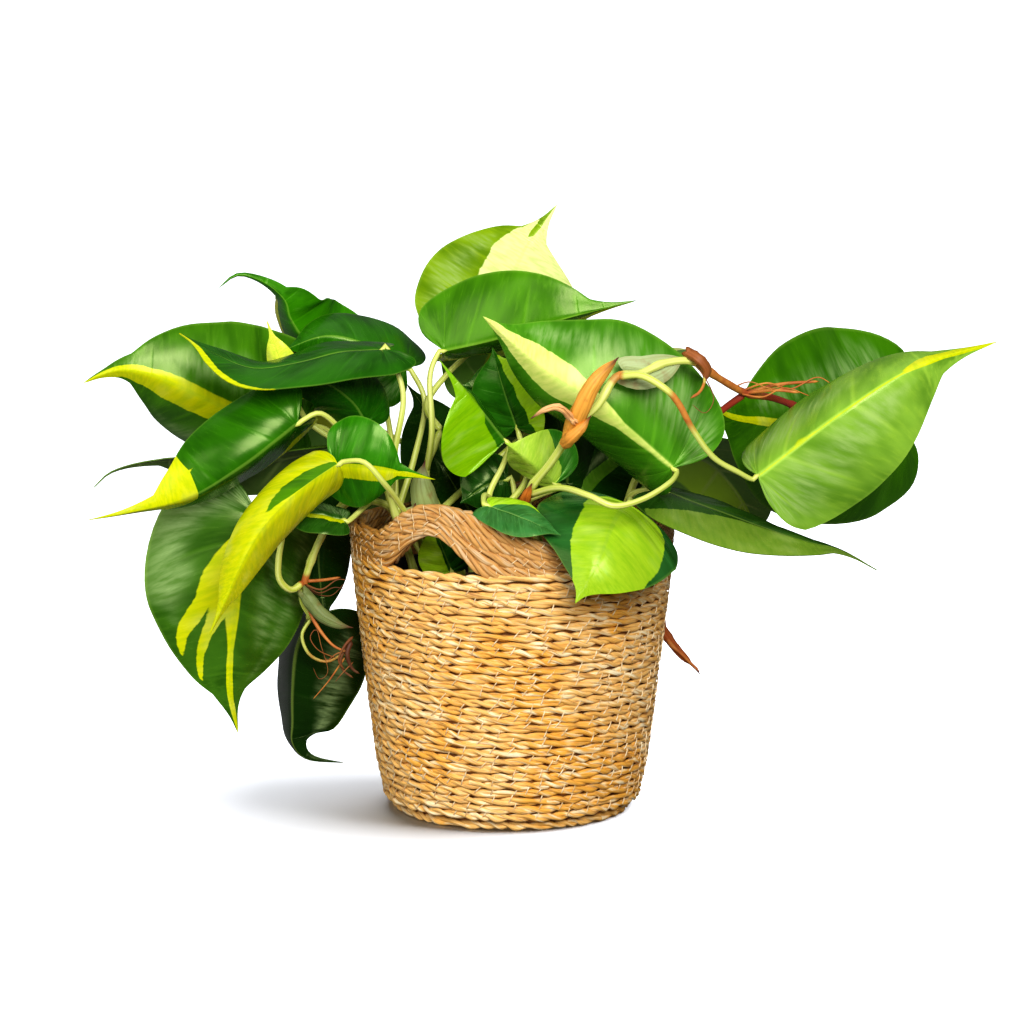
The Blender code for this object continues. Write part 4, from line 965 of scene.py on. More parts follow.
def smooth_at(knots, place):
    """The point at a place, counted in knots, on the Catmull-Rom curve through the knots."""
    last = len(knots) - 2
    k = min(max(int(place), 0), last)
    t = place - k
    b, c = knots[k], knots[k + 1]
    a = knots[k - 1] if k > 0 else 2 * b - c
    d = knots[k + 2] if k < last else 2 * c - b
    bend = (2 * a - 5 * b + 4 * c - d) * t**2 + (3 * b - a - 3 * c + d) * t**3
    return (2 * b + (c - a) * t + bend) / 2


def even_curve(points, step):
    """Points about one step apart along the smooth curve through the given ones."""
    knots = [Vector(p) for p in points]
    count = 12 * len(knots)
    fine = [smooth_at(knots, i / (count - 1) * (len(knots) - 1)) for i in range(count)]
    reach = [0.0]
    for a, b in zip(fine, fine[1:]):
        reach.append(reach[-1] + (b - a).length)
    count = max(2, round(reach[-1] / step) + 1)
    found = []
    k = 1
    for i in range(count):
        wanted = reach[-1] * i / (count - 1)
        while k < len(reach) - 1 and reach[k] < wanted:
            k += 1
        share = (wanted - reach[k - 1]) / max(reach[k] - reach[k - 1], 1e-9)
        found.append(fine[k - 1].lerp(fine[k], share))
    return found


class Midrib:
    """The line of a leaf's midrib, with its place, direction and facing at each share of its length."""

    def __init__(self, points, facing):
        self.points = even_curve(points, MIDRIB_STEP)
        last = len(self.points) - 1
        self.length = sum((b - a).length for a, b in zip(self.points, self.points[1:]))
        self.ahead = [(self.points[min(k + 3, last)] - self.points[max(k - 2, 0)]).normalized()
                      for k in range(last + 1)]
        self.facing = Vector(facing)

    def frame(self, share):
        """(place, direction towards the tip, right, up) at a share, which is negative behind the base."""
        last = len(self.points) - 1
        place = min(max(share, 0), 1) * last
        k = min(int(place), last - 1)
        middle = self.points[k].lerp(self.points[k + 1], place - k)
        ahead = self.ahead[k].lerp(self.ahead[k + 1], place - k).normalized()
        middle = middle + ahead * min(share, 0) * self.length
        up = (self.facing - ahead * self.facing.dot(ahead)).normalized()
        return middle, ahead, ahead.cross(up), up


def blade_point(midrib, leaf, across, along, relief):
    """A blade's point: across runs from -1 at the left margin to 1 at the right, along from notch to tip."""
    share, margin, leaves_midrib = smooth_at(HEART_KNOTS, along * (len(HEART) - 1))
    share = max(share, 0)
    leaves_midrib = max(leaves_midrib, 0)
    drip = HEART[DRIP_ROW][1]
    if margin > drip:
        margin = 1 - (1 - margin) * (1 - leaf.drip) / (1 - drip)
    elif margin > 0:
        margin *= leaf.drip / drip
    else:
        margin *= leaf.lobes
    leaves_midrib = min(leaves_midrib, margin) if margin > 0 else 0
    side = 1 if across > 0 else -1
    out = abs(across)
    first, turn = (math.radians(a) for a in (leaf.right if side > 0 else leaf.left))
    middle, _, to_right, up = midrib.frame(leaves_midrib + (margin - leaves_midrib) * out)
    flat = out * share * 2
    half = leaf.width / 2
    if abs(turn) < 1e-3:
        sideways, raised = flat * math.cos(first) * half, flat * math.sin(first) * half
        angle = first
    else:
        angle = first + turn * flat
        sideways = (math.sin(angle) - math.sin(first)) / turn * half
        raised = (math.cos(first) - math.cos(angle)) / turn * half
    raised += leaf.wave * out**2 * math.sin(along * 4 * math.pi + leaf.width + side) * share * 2
    standing = relief(across, along) * share * 2
    sideways -= standing * math.sin(angle)
    raised += standing * math.cos(angle)
    return middle + to_right * side * sideways + up * raised


def blade_relief(settings, seed):
    """The height of the skin over the plain blade, from its groove, its side veins and its dents."""
    quilting, groove, dents = (v / MM for v in (settings.quilting, settings.groove, settings.unevenness))

    def height(across, along):
        out = abs(across)
        swell = abs(math.sin(math.pi * SIDE_VEINS * along)) ** VEIN_SHARPNESS
        arch = math.sin(math.pi * min(out, 1)) ** ARCH_FLATNESS
        channel = math.exp(-(out / GROOVE_WIDTH) ** 2)
        dent = noise.noise(Vector((across * 1.6 + seed, along * 3.5, seed * 1.7)))
        ripple = noise.noise(Vector((across * 2.5, along * 11, seed))) * RIPPLE_SHARE
        return quilting * swell * arch - groove * channel + dents * (dent + ripple) * out

    return height


def band_depth(bands, across, along):
    """How far inside the bands a point of a blade lies, negative outside them."""
    deepest = -1.0
    for rows in bands:
        low, high = between(rows, along)
        beyond = max(rows[0][0] - along, along - rows[-1][0], 0)
        deepest = max(deepest, min(across - low, high - across) - BAND_END * beyond)
    return deepest


def paint_blade(vertex, layers, look, across, along):
    """Writes the blade's variegation at one vertex."""
    patch = band_depth(look.patches, across, along)
    if look.green:
        patch = min(patch, -band_depth(look.green, across, along))
    vertex[layers["patch"]] = patch
    vertex[layers["pale"]] = band_depth(look.pale, across, along)


def settle(obj, name, slot, *nodes):
    """Names a finished piece, hangs it on the root body and hides the solids it stands for."""
    if not obj.data.polygons:
        raise RuntimeError(f"{name} has no faces")
    obj.name = name
    obj.data.name = name
    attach(obj, "root")
    if nodes:
        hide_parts(*nodes)
    return obj


def make_blade(leaf, settings, materials, seed, columns=BLADE_COLUMNS, rows=BLADE_ROWS):
    """A blade: a fine grid bent to the leaf's form, painted with its variegation and given its thickness."""
    midrib = Midrib(leaf.midrib, leaf.facing)
    relief = blade_relief(settings, seed)
    look = LOOKS[leaf.name]
    bpy.ops.mesh.primitive_grid_add(x_subdivisions=columns, y_subdivisions=rows, size=2)
    obj = bpy.context.object
    mesh = bmesh.new()
    mesh.from_mesh(obj.data)
    layers = {key: mesh.verts.layers.float.new(key) for key in ("patch", "pale", "seed", "burnt")}
    skin = mesh.verts.layers.float_color.new("skin")
    patch_colour = mesh.verts.layers.float_color.new("patch_colour")
    for vertex in mesh.verts:
        across, along = vertex.co.x, (vertex.co.y + 1) / 2
        vertex.co = blade_point(midrib, leaf, across, along, relief) * MM
        paint_blade(vertex, layers, look, across, along)
        vertex[layers["seed"]] = seed * 3.7
        vertex[layers["burnt"]] = along**3
        vertex[skin] = colour(look.skin)
        vertex[patch_colour] = colour(look.patch)
    bmesh.ops.remove_doubles(mesh, verts=mesh.verts, dist=WELD)
    mesh.to_mesh(obj.data)
    mesh.free()
    for made in materials:
        obj.data.materials.append(made)
    thickness = obj.modifiers.new("thickness", "SOLIDIFY")
    thickness.thickness = settings.thickness
    thickness.offset = 0
    thickness.material_offset = len(materials) - 1
    bpy.ops.object.modifier_apply(modifier=thickness.name)
    bpy.ops.object.shade_smooth_by_angle(angle=math.radians(50))
    obj.select_set(False)
    return obj


def make_tube(route, radii, sides, paint=None):
    """A closed tube along a route, from a grid wrapped round it, with a radius for each point.

    Paint gives the values of the tube's attributes at a spot of the route.
    """
    rows = len(route) - 1
    bpy.ops.mesh.primitive_grid_add(x_subdivisions=sides, y_subdivisions=rows, size=2)
    obj = bpy.context.object
    mesh = bmesh.new()
    mesh.from_mesh(obj.data)
    layers = {key: mesh.verts.layers.float.new(key) for key in ("woody", "red", "burnt")}
    ahead = [(route[min(k + 1, rows)] - route[max(k - 1, 0)]).normalized() for k in range(rows + 1)]
    side = ahead[0].orthogonal().normalized()
    frames = []
    for direction in ahead:
        side = (side - direction * side.dot(direction)).normalized()
        frames.append((side, direction.cross(side)))
    for vertex in mesh.verts:
        k = round((vertex.co.y + 1) / 2 * rows)
        turn = (vertex.co.x + 1) * math.pi
        first, second = frames[k]
        radius = 0.0 if k in (0, rows) else radii[k]
        vertex.co = (route[k] + (first * math.cos(turn) + second * math.sin(turn)) * radius) * MM
        if paint:
            for key, value in paint(route[k]).items():
                vertex[layers[key]] = value
    bmesh.ops.remove_doubles(mesh, verts=mesh.verts, dist=WELD)
    bmesh.ops.recalc_face_normals(mesh, faces=mesh.faces)
    mesh.to_mesh(obj.data)
    mesh.free()
    bpy.ops.object.shade_smooth()
    obj.select_set(False)
    return obj


def join(pieces):
    """Joins the pieces into the first."""
    deselect()
    for piece in pieces:
        piece.select_set(True)
    bpy.context.view_layer.objects.active = pieces[0]
    if len(pieces) > 1:
        bpy.ops.object.join()
    deselect()
    return pieces[0]


def handle_lift(angle, rise, reach):
    """How far an edge of the rim rises at an angle round the basket, for its arch over each handle."""
    for middle in HANDLE_ANGLES:
        away = (angle - middle + 180) % 360 - 180
        half_angle = reach[1] if away > 0 else reach[0]
        if abs(away) < half_angle:
            return rise * (0.5 + 0.5 * math.cos(math.pi * away / half_angle)) ** ARCH_FULLNESS
    return 0.0


def rim_place(angle, share):
    """(radius, height) of the middle of the rim's wall, at a share of the way up from its lower edge."""
    foot = BAND_FOOT - 2 + handle_lift(math.degrees(angle), HOLE_RISE, HOLE_REACH)
    top = BAND_TOP + handle_lift(math.degrees(angle), ARCH_RISE, ARCH_REACH)
    height = foot + (top - foot) * share
    return wall_radius(height) - WALL / 2, height, (top - foot) / len(RIM_ROPES)


def unevenness(spot, setting, shift):
    """The size of a noise (size, waves) at a spot on the unit circle, in its own part of the noise."""
    size, waves = setting
    return size * noise.noise(spot * waves + Vector(shift))


def make_strand(place, turns, start, offset, radius, row, seed, segments, sides):
    """One twisted strand round the basket, from a torus whose ring is wound about its row's middle.

    Place gives the row's (radius, height, size) at an angle. Turns is its number of full twists, and is
    even, because the strand itself turns half as fast and has to meet its own start.
    """
    bpy.ops.mesh.primitive_torus_add(major_segments=segments, minor_segments=sides,
                                     major_radius=1, minor_radius=0.5)
    obj = bpy.context.object
    seam = seed * SEAM_STEP
    for vertex in obj.data.vertices:
        flat = math.hypot(vertex.co.x, vertex.co.y)
        around = math.atan2(vertex.co.x, -vertex.co.y) + seam
        around = (around + math.pi) % (2 * math.pi) - math.pi
        tilt = math.atan2(vertex.co.z, flat - 1)
        spot = Vector((math.cos(around), math.sin(around), 0))
        row_radius, row_height, size = place(around)
        wind = start - turns * around + unevenness(spot, WIND_NOISE, (0, 0, row * 3.3))
        thick = radius * size * (1 + unevenness(spot, SWELL_NOISE, (0, 0, seed * 1.9))
                                 + unevenness(spot, RIDGE_NOISE, (tilt, 0, seed + tilt)))
        wander = unevenness(spot, ROW_NOISE, (0, 0, row * 3.3))
        wander += unevenness(spot, STRAND_NOISE, (0, 0, seed * 2.3))
        away = offset * size
        tilt += wind / 2
        out = row_radius + away * ROW_DEPTH * math.cos(wind) + thick * STRAND_DEPTH * math.cos(tilt)
        high = row_height + wander + away * ROW_SPREAD * math.sin(wind) + thick * math.sin(tilt)
        vertex.co = Vector((out * math.sin(around), -out * math.cos(around), high)) * MM
    run = obj.data.attributes.new("run", "FLOAT", "POINT")
    run.data.foreach_set("value", [seed * 1.37] * len(obj.data.vertices))
    bpy.ops.object.shade_smooth()
    obj.select_set(False)
    return obj


def make_rope(place, turns, offset, radius, row, segments, strands=4, sides=ROPE_SIDES):
    """The strands of one row, wound about each other."""
    start = random.uniform(0, 2 * math.pi)
    return [make_strand(place, turns, start + strand * 2 * math.pi / strands, offset, radius, row,
                        row * strands + strand, segments, sides) for strand in range(strands)]


def rim_course(share, shift):
    """The place of one rope of the rim: its share of the way up, and how far out of the middle it lies."""
    def place(around):
        middle, height, size = rim_place(around, share)
        return middle + shift, height, size / RIM_ROPE_HEIGHT
    return place


def turned(profile, segments):
    """A closed shape turned round Z from (radius, height) points."""
    data = bpy.data.meshes.new("profile")
    rows = [(radius * MM, 0, height * MM) for radius, height in profile]
    data.from_pydata(rows, [(i, i + 1) for i in range(len(rows) - 1)], [])
    obj = bpy.data.objects.new("turned", data)
    bpy.context.scene.collection.objects.link(obj)
    screw = obj.modifiers.new("turn", "SCREW")
    screw.steps = segments
    screw.render_steps = segments
    screw.use_merge_vertices = True
    screw.merge_threshold = WELD
    obj.select_set(True)
    bpy.context.view_layer.objects.active = obj
    bpy.ops.object.modifier_apply(modifier=screw.name)
    obj.select_set(False)
    return obj


def scatter(base, places, name):
    """One piece with a copy of the base's mesh at each place."""
    mesh = bmesh.new()
    for place in places:
        before = len(mesh.verts)
        mesh.from_mesh(base.data)
        mesh.verts.ensure_lookup_table()
        bmesh.ops.transform(mesh, matrix=place, verts=mesh.verts[before:])
    data = bpy.data.meshes.new(name)
    mesh.to_mesh(data)
    mesh.free()
    obj = bpy.data.objects.new(name, data)
    bpy.context.scene.collection.objects.link(obj)
    bpy.data.objects.remove(base)
    return obj


def on_wall(angle, radius, height, lean=0.0):
    """The place of a small piece on the wall: its X goes round the basket, its Y points in."""
    turn = Matrix.Rotation(angle, 4, "Z")
    out = Vector((math.sin(angle), -math.cos(angle), 0))
    spot = out * radius * MM + Vector((0, 0, height * MM))
    return Matrix.Translation(spot) @ turn @ Matrix.Rotation(lean, 4, "Y")


class PHILODENDRON_OT_stage(bpy.types.Operator):
    """Sets up the pale floor, the soft studio light and the camera"""

    bl_idname = "philodendron.stage"
    bl_label = "Stage"

    def execute(self, context):
        settings = context.scene.philodendron_stage
        deselect()
        bpy.ops.mesh.primitive_grid_add(x_subdivisions=2, y_subdivisions=60, size=2)
        floor = context.object
        floor.name = "floor_sweep"
        for vertex in floor.data.vertices:
            reach = (vertex.co.y + 1) / 2 * FLOOR_LENGTH - FLOOR_FRONT
            bend = min(max((reach - FLOOR_BACK) / SWEEP_RADIUS, 0), math.pi / 2)
            rest = max(reach - FLOOR_BACK - SWEEP_RADIUS * math.pi / 2, 0)
            back = min(reach, FLOOR_BACK) + SWEEP_RADIUS * math.sin(bend)
            height = SWEEP_RADIUS * (1 - math.cos(bend)) + rest
            vertex.co = Vector((vertex.co.x * FLOOR_HALF_WIDTH, back, height))
        bpy.ops.object.shade_smooth()
        floor.select_set(False)
        made, _ = new_material("floor_matt_white")
        finish_material(made, colour("#F3F6FC"), 0.9)
        floor.data.materials.append(made)
        # The floor is white to look at, but throws no light back, as in a photograph that is cut out
        floor.visible_diffuse = False
        floor.visible_glossy = False
        only_floor = bpy.data.collections.new("only_floor")
        only_floor.objects.link(floor)
        not_floor = bpy.data.collections.new("not_floor")
        not_floor.objects.link(floor)
        not_floor.collection_objects[0].light_linking.link_state = "EXCLUDE"
        shadow_casters = bpy.data.collections.new("shadow_casters")
        for name, spot, target, size, power, for_floor in LIGHTS:
            data = bpy.data.lights.new(name, "AREA")
            data.energy = getattr(settings, power)
            data.size = size
            light = bpy.data.objects.new(name, data)
            context.scene.collection.objects.link(light)
            light.location = spot
            light.rotation_euler = (Vector(target) - Vector(spot)).to_track_quat("-Z", "Y").to_euler()
            light.light_linking.receiver_collection = only_floor if for_floor else not_floor
            if for_floor:
                light.light_linking.blocker_collection = shadow_casters
        world = bpy.data.worlds.new("studio_room")
        world.use_nodes = True
        world.node_tree.nodes["Background"].inputs[0].default_value = (1, 1, 1, 1)
        world.node_tree.nodes["Background"].inputs[1].default_value = settings.ambient
        context.scene.world = world
        data = bpy.data.cameras.new("camera")
        data.lens = settings.lens
        camera = bpy.data.objects.new("camera", data)
        context.scene.collection.objects.link(camera)
        camera.location = CAMERA_PLACE
        camera.rotation_euler = (Vector(AIM) - camera.location).to_track_quat("-Z", "Y").to_euler()
        context.scene.camera = camera
        context.scene.view_settings.view_transform = "Standard"
        context.scene.view_settings.look = "Medium High Contrast"
        return {"FINISHED"}


class PHILODENDRON_OT_basket(bpy.types.Operator):
    """Weaves the wall and the base from twisted strands, and lines them"""

    bl_idname = "philodendron.basket"
    bl_label = "Wall and Base"

    def execute(self, context):
        settings = context.scene.philodendron_basket
        radius, offset = settings.strand_radius / MM, settings.strand_offset / MM
        thick, wide = settings.rope_radius / MM, settings.rope_offset / MM
        deselect()
        random.seed(BASKET_SEED)
        golden = grass_stalks("seagrass_golden", settings, 0.0)
        inset = radius * STRAND_DEPTH + offset * ROW_DEPTH - ROW_RELIEF
        courses = [(FOOT_RADIUS, FOOT_HEIGHT), *((wall_radius(z) - inset, z) for z in ROW_HEIGHTS)]
        strands = []
        for row, (middle, height) in enumerate(courses):
            turns = settings.twists + random.choice(MORE_TWISTS)
            strands += make_rope(lambda around, r=middle, z=height: (r, z, 1.0), turns, offset, radius,
                                 row, ROW_SEGMENTS, 2, ROW_SIDES)
        wall = join(strands)
        wall.data.materials.append(golden)
        settle(wall, "basket_rows", "seagrass", "basket")
        strands = []
        for ring, middle in enumerate(BASE_RINGS):
            turns = max(1, round(settings.rope_twists * middle / RIM_RADIUS / 2)) * 2
            strands += make_rope(lambda around, r=middle: (r, BASE_HEIGHT, BASE_ROPE_SIZE), turns, wide,
                                 thick, ROW_COUNT + 1 + ring, max(24, round(RING_SEGMENTS * middle)))
        base = join(strands)
        base.data.materials.append(golden)
        settle(base, "basket_base_coil", "seagrass", "basket")
        lining = turned([
            (0, BASE_HEIGHT), (wall_radius(0) - 4, BASE_HEIGHT),
            *((wall_radius(z) - LINING_DEPTH, z) for z in (8, 24, 52, 99, LINING_TOP)),
            *((wall_radius(z) - WALL, z) for z in (LINING_TOP, 99, 52, 24, 9)),
            (0, FIRST_ROW), (0, BASE_HEIGHT)], 96)
        # The lining's dark brown is painted shade in the gaps between the rows
        lining.data.materials.append(grass_lining(settings))
        settle(lining, "basket_lining", "seagrass", "basket")
        for piece in (wall, base, lining):
            bpy.data.collections["shadow_casters"].objects.link(piece)
        return {"FINISHED"}


class PHILODENDRON_OT_rim(bpy.types.Operator):
    """Winds the ropes of the rim and its two handles, outside and inside"""

    bl_idname = "philodendron.rim"
    bl_label = "Rim and Handles"

    def execute(self, context):
        settings = context.scene.philodendron_basket
        thick, wide = settings.rope_radius / MM, settings.rope_offset / MM
        deselect()
        strands = []
        for rope, share in enumerate(RIM_ROPES):
            strands += make_rope(rim_course(share, OUTER_SHIFT), settings.rope_twists + 2 * rope,
                                 wide * OUTER_SPREAD, thick * OUTER_THICKNESS, 60 + rope, RIM_SEGMENTS)
            strands += make_rope(rim_course(share, INNER_SHIFT), -settings.rope_twists, wide, thick,
                                 70 + rope, INNER_RIM_SEGMENTS)
        rim = join(strands)
        rim.data.materials.append(grass_stalks("seagrass_rim_brown", settings, RIM_BROWN_AND_SHADE))
        settle(rim, "basket_rim", "seagrass", "basket")
        return {"FINISHED"}


class PHILODENDRON_OT_threads(bpy.types.Operator):
    """Binds the rows and the rim with thread, and adds stray fibres"""

    bl_idname = "philodendron.threads"
    bl_label = "Threads and Fibres"

    def execute(self, context):
        settings = context.scene.philodendron_basket
        deselect()
        thread = thread_skin(settings)
        route = [Vector(p) for p in STITCH_ROUTE]
        stitch = make_tube(route, [STITCH_RADIUS] * len(route), 5)
        places = []
        for height in ROW_HEIGHTS[:-1]:
            reach = wall_radius(height) + ROW_RELIEF - STITCH_SINK
            for i in range(settings.stitches):
                angle = (i + random.uniform(-0.3, 0.3)) / settings.stitches * 2 * math.pi
                lean = random.uniform(*STITCH_LEAN)
                if random.random() < STITCH_SHARE:
                    places.append(on_wall(angle, reach, height + ROW_PITCH / 2, lean))
        rim_stitches = settings.stitches + RIM_STITCHES
        for share in RIM_ROPES:
            for i in range(rim_stitches):
                angle = (i + random.uniform(-0.2, 0.2)) / rim_stitches * 2 * math.pi
                middle, height, _ = rim_place(angle, share)
                lean = random.choice(RIM_STITCH_LEANS) + random.uniform(-0.15, 0.15)
                place = on_wall(angle, middle + RIM_STITCH_REACH, height, lean)
                places.append(place @ Matrix.Scale(RIM_STITCH_SIZE, 4))
        stitches = scatter(stitch, places, "binding_threads")
        stitches.data.materials.append(thread)
        settle(stitches, "binding_threads", "seagrass")
        fibre = make_tube([Vector(p) for p in FIBRE_ROUTE], FIBRE_RADII, 4)
        places = []
        for _ in range(settings.stray_fibres):
            height = random.uniform(*FIBRE_HEIGHTS)
            angle = random.uniform(-math.pi, math.pi)
            reach = wall_radius(height) + ROW_RELIEF - FIBRE_SINK
            if height > ROW_HEIGHTS[-1]:
                middle, height, _ = rim_place(angle, random.uniform(0, 1))
                reach = middle + RIM_FIBRE_REACH
            spin = Matrix.Rotation(random.uniform(-0.6, 0.6) + random.choice((0, math.pi)), 4, "Y")
            places.append(on_wall(angle, reach, height) @ spin @ Matrix.Scale(random.uniform(0.5, 1.3), 4))
        fibres = scatter(fibre, places, "stray_fibres")
        fibres.data.materials.append(thread)
        settle(fibres, "stray_fibres", "seagrass")
        return {"FINISHED"}


class PHILODENDRON_OT_pot(bpy.types.Operator):
    """Finishes the nursery pot, which keeps its own solid"""

    bl_idname = "philodendron.pot"
    bl_label = "Nursery Pot"

    def execute(self, context):
        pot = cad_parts["nursery_pot"]
        pot.data.materials.clear()
        pot.data.materials.append(pot_skin())
        return {"FINISHED"}


class PHILODENDRON_OT_soil(bpy.types.Operator):
    """Fills the pot with a lumpy mound of soil and its loose crumbs"""

    bl_idname = "philodendron.soil"
    bl_label = "Soil"

    def execute(self, context):
        settings = context.scene.philodendron_soil
        deselect()
        skin = soil_skin(settings)
        random.seed(SOIL_SEED)
        middle = (SOIL_EDGE - SOIL_DEPTH / 2) * MM
        crown = (SOIL_CROWN - SOIL_EDGE) * MM
        bpy.ops.mesh.primitive_cylinder_add(vertices=72, radius=SOIL_RADIUS * MM, depth=SOIL_DEPTH * MM,
                                            location=(0, 0, middle))
        soil = context.object
        mesh = bmesh.new()
        mesh.from_mesh(soil.data)
        top = [f for f in mesh.faces if f.normal.z > 0.9]
        for _ in range(SOIL_RINGS):
            bmesh.ops.inset_region(mesh, faces=top, thickness=SOIL_RADIUS * SOIL_RING * MM)
            top = [f for f in top if f.is_valid]
        mesh.to_mesh(soil.data)
        mesh.free()
        bpy.ops.object.transform_apply()
        for vertex in soil.data.vertices:
            reach = math.hypot(vertex.co.x, vertex.co.y) / (SOIL_RADIUS * MM)
            if vertex.co.z > middle:
                lump = noise.noise(vertex.co * 90) + 0.5 * noise.noise(vertex.co * 260)
                vertex.co.z += crown * (1 - reach**2) + settings.lumpiness * lump * 0.7
        bpy.ops.object.shade_smooth_by_angle(angle=math.radians(40))
        soil.data.materials.append(skin)
        settle(soil, "potting_soil_mound", "soil", "potting_soil")
        deselect()
        bpy.ops.mesh.primitive_ico_sphere_add(subdivisions=1, radius=CRUMB_RADIUS * MM)
        crumb = context.object
        bpy.ops.object.transform_apply()
        for vertex in crumb.data.vertices:
            vertex.co *= 1 + 0.5 * noise.noise(vertex.co * 900)
        places = []
        for _ in range(settings.crumbs):
            reach = math.sqrt(random.random()) * (SOIL_RADIUS - CRUMB_MARGIN)
            angle = random.uniform(0, 2 * math.pi)
            height = SOIL_EDGE + (SOIL_CROWN - SOIL_EDGE) * (1 - (reach / SOIL_RADIUS) ** 2) + 0.4
            spot = Vector((reach * math.cos(angle), reach * math.sin(angle), height)) * MM
            spin = Matrix.Rotation(random.uniform(0, 6.28), 4, Vector((random.random(), 1, 0.3)))
            size = Matrix.Diagonal((random.uniform(0.4, 1.6), random.uniform(0.4, 1.1), 0.6, 1))
            places.append(Matrix.Translation(spot) @ spin @ size)
        crumbs = scatter(crumb, places, "soil_crumbs")
        crumbs.data.materials.append(skin)
        settle(crumbs, "soil_crumbs", "soil")
        return {"FINISHED"}


def nearness(zones, spot):
    """How strongly the nearest of the zones (centre, radius, amount) takes hold at a spot."""
    strongest = 0.0
    for centre, radius, amount in zones:
        away = (spot - Vector(centre)).length / radius
        strongest = max(strongest, amount * min(1, max(0, 1.6 - away * 1.2)))
    return strongest


def make_stem(points, first_radius, last_radius, settings, jointed):
    """A stem or petiole, with swollen joints if it is a main stem."""
    route = even_curve(points, STEM_STEP)
    length = STEM_STEP * (len(route) - 1)
    spacing, swelling = settings.joint_spacing / MM, settings.joint_swelling / MM
    radii = []
    for k in range(len(route)):
        share = k / (len(route) - 1)
        radius = first_radius + (last_radius - first_radius) * share
        radius *= 1 + 0.07 * noise.noise(route[k] * 0.12)
        if jointed:
            away = (share * length + spacing / 2) % spacing - spacing / 2
            radius += swelling * math.exp(-(away / JOINT_LENGTH) ** 2)
        radii.append(radius)
    return make_tube(route, radii, STEM_SIDES,
                     lambda spot: {"woody": nearness(WOODY, spot), "red": nearness(RED, spot)})


def make_root(points, radius, old):
    """A dry root, thinner towards its end, and darker the older it is."""
    route = even_curve(points, ROOT_STEP)
    radii = [radius * (1 - 0.6 * k / (len(route) - 1)) for k in range(len(route))]
    return make_tube(route, radii, ROOT_SIDES, lambda spot: {"woody": 1.0, "burnt": old})


def petiole_route(leaf):
    """The petiole's points, ending in the notch at the base of its blade, in line with the midrib."""
    middle, ahead, _, up = Midrib(leaf.midrib, leaf.facing).frame(0)
    return (*leaf.petiole, middle - ahead * PETIOLE_STRAIGHT, middle - ahead * 1.3 - up * 0.2,
            middle + ahead * 1.5 - up * 0.6)


class PHILODENDRON_OT_stems(bpy.types.Operator):
    """Grows the stems, petioles and aerial roots"""

    bl_idname = "philodendron.stems"
    bl_label = "Stems"

    def execute(self, context):
        settings = context.scene.philodendron_stem
        deselect()
        skin = stem_skin(settings)
        for name, stems in STEMS.items():
            pieces = [make_stem(points, first, last, settings, first > JOINTED_RADIUS)
                      for points, first, last in stems]
            for leaf in LEAVES:
                if leaf.vine == name:
                    pieces.append(make_stem(petiole_route(leaf), PETIOLE_RADIUS, PETIOLE_END_RADIUS,
                                            settings, False))
            for points, radius, old in FINE_ROOTS.get(name, ()):
                pieces.append(make_root(points, radius, old))
            vine = join(pieces)
            vine.data.materials.append(skin)
            settle(vine, name + "_stems", "stem", name)
        return {"FINISHED"}


class PHILODENDRON_OT_leaves(bpy.types.Operator):
    """Spreads the blades with their variegation"""

    bl_idname = "philodendron.leaves"
    bl_label = "Leaves"

    def execute(self, context):
        settings = context.scene.philodendron_leaf
        deselect()
        materials = (leaf_skin(), leaf_underside())
        for seed, leaf in enumerate(LEAVES, 1):
            blade = make_blade(leaf, settings, materials, seed)
            settle(blade, leaf.name + "_blade", "leaf", leaf.name)
        for seed, leaf in enumerate(SHADE_LEAVES, 40):
            blade = make_blade(leaf, settings, materials, seed, columns=20, rows=30)
            settle(blade, leaf.name + "_blade", "leaf")
        return {"FINISHED"}


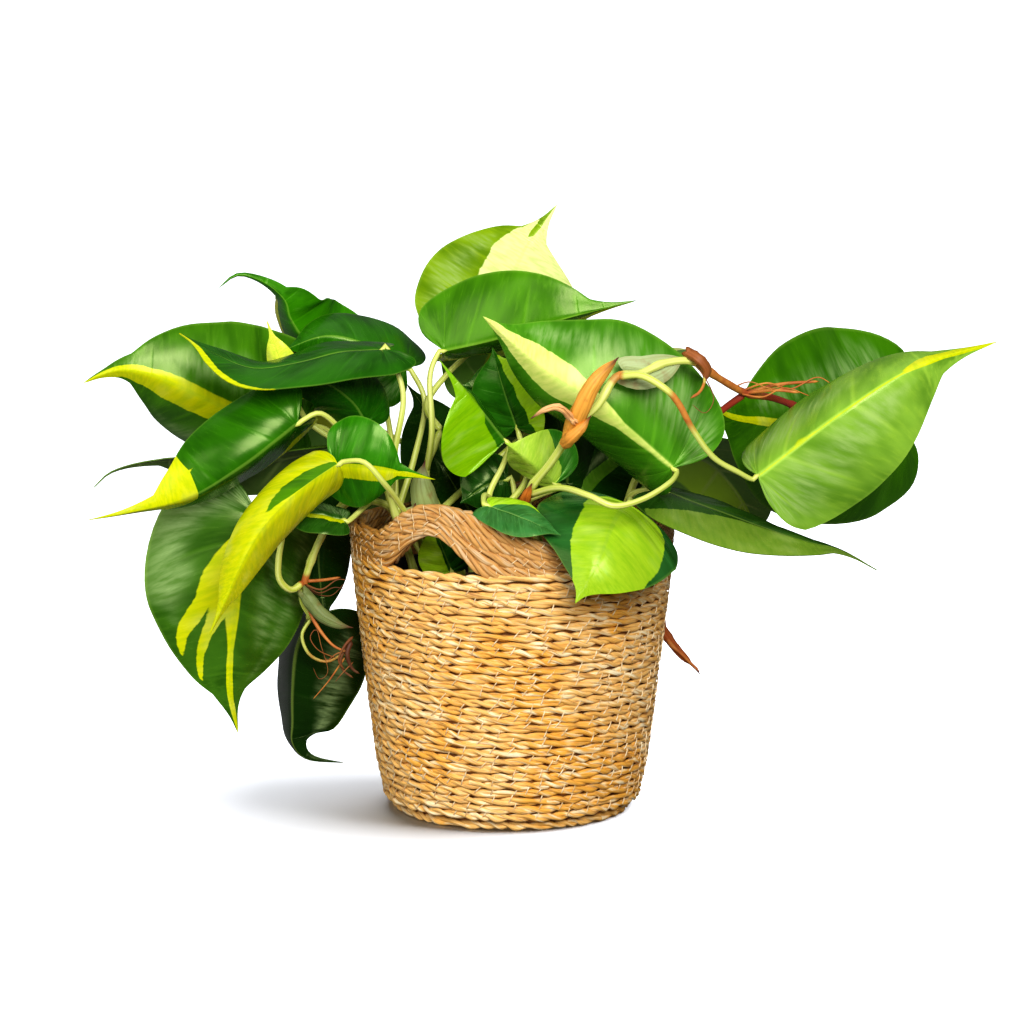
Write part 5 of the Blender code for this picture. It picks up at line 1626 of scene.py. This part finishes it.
class PHILODENDRON_OT_dried_parts(bpy.types.Operator):
    """Adds the dried sheaths and their curls"""

    bl_idname = "philodendron.dried_parts"
    bl_label = "Dried Parts"

    def execute(self, context):
        settings = context.scene.philodendron_leaf
        deselect()
        skin = dried_skin()
        for seed, sheath in enumerate(SHEATHS, 60):
            paper = make_blade(sheath, settings, (skin,), seed, columns=12, rows=24)
            settle(paper, sheath.name + "_paper", "dried_sheath", sheath.name)
        for seed, curl in enumerate(SHEATH_CURLS, 80):
            paper = make_blade(curl, settings, (skin,), seed, columns=10, rows=20)
            settle(paper, curl.name + "_paper", "dried_sheath")
        return {"FINISHED"}


class PHILODENDRON_PT_panel(bpy.types.Panel):
    """Lists the settings and the steps in the 3D view's sidebar"""

    bl_idname = "PHILODENDRON_PT_panel"
    bl_label = "Potted Philodendron"
    bl_space_type = "VIEW_3D"
    bl_region_type = "UI"
    bl_category = "Philodendron"

    def draw(self, context):
        for group, operators in STEPS:
            box = self.layout.box()
            settings = getattr(context.scene, group)
            for key in settings.__annotations__:
                box.prop(settings, key)
            for operator in operators:
                box.operator(operator.bl_idname)


STEPS = (
    ("philodendron_stage", (PHILODENDRON_OT_stage,)),
    ("philodendron_basket", (PHILODENDRON_OT_basket, PHILODENDRON_OT_rim, PHILODENDRON_OT_threads)),
    ("philodendron_soil", (PHILODENDRON_OT_pot, PHILODENDRON_OT_soil)),
    ("philodendron_stem", (PHILODENDRON_OT_stems,)),
    ("philodendron_leaf", (PHILODENDRON_OT_leaves, PHILODENDRON_OT_dried_parts)),
)
GROUPS = {
    "philodendron_stage": StageSettings,
    "philodendron_basket": BasketSettings,
    "philodendron_soil": SoilSettings,
    "philodendron_stem": StemSettings,
    "philodendron_leaf": LeafSettings,
}
CLASSES = (*GROUPS.values(), *(o for _, operators in STEPS for o in operators), PHILODENDRON_PT_panel)


def register():
    """Adds the classes, and their settings to the scene."""
    for made in CLASSES:
        bpy.utils.register_class(made)
    for name, group in GROUPS.items():
        setattr(bpy.types.Scene, name, PointerProperty(type=group))


def unregister():
    """Takes the settings and the classes away again."""
    for name in GROUPS:
        delattr(bpy.types.Scene, name)
    for made in reversed(CLASSES):
        bpy.utils.unregister_class(made)


def main():
    register()
    bpy.ops.philodendron.stage()
    bpy.ops.philodendron.basket()
    bpy.ops.philodendron.rim()
    bpy.ops.philodendron.threads()
    bpy.ops.philodendron.pot()
    bpy.ops.philodendron.soil()
    bpy.ops.philodendron.stems()
    bpy.ops.philodendron.leaves()
    bpy.ops.philodendron.dried_parts()


if __name__ == "__main__":
    main()
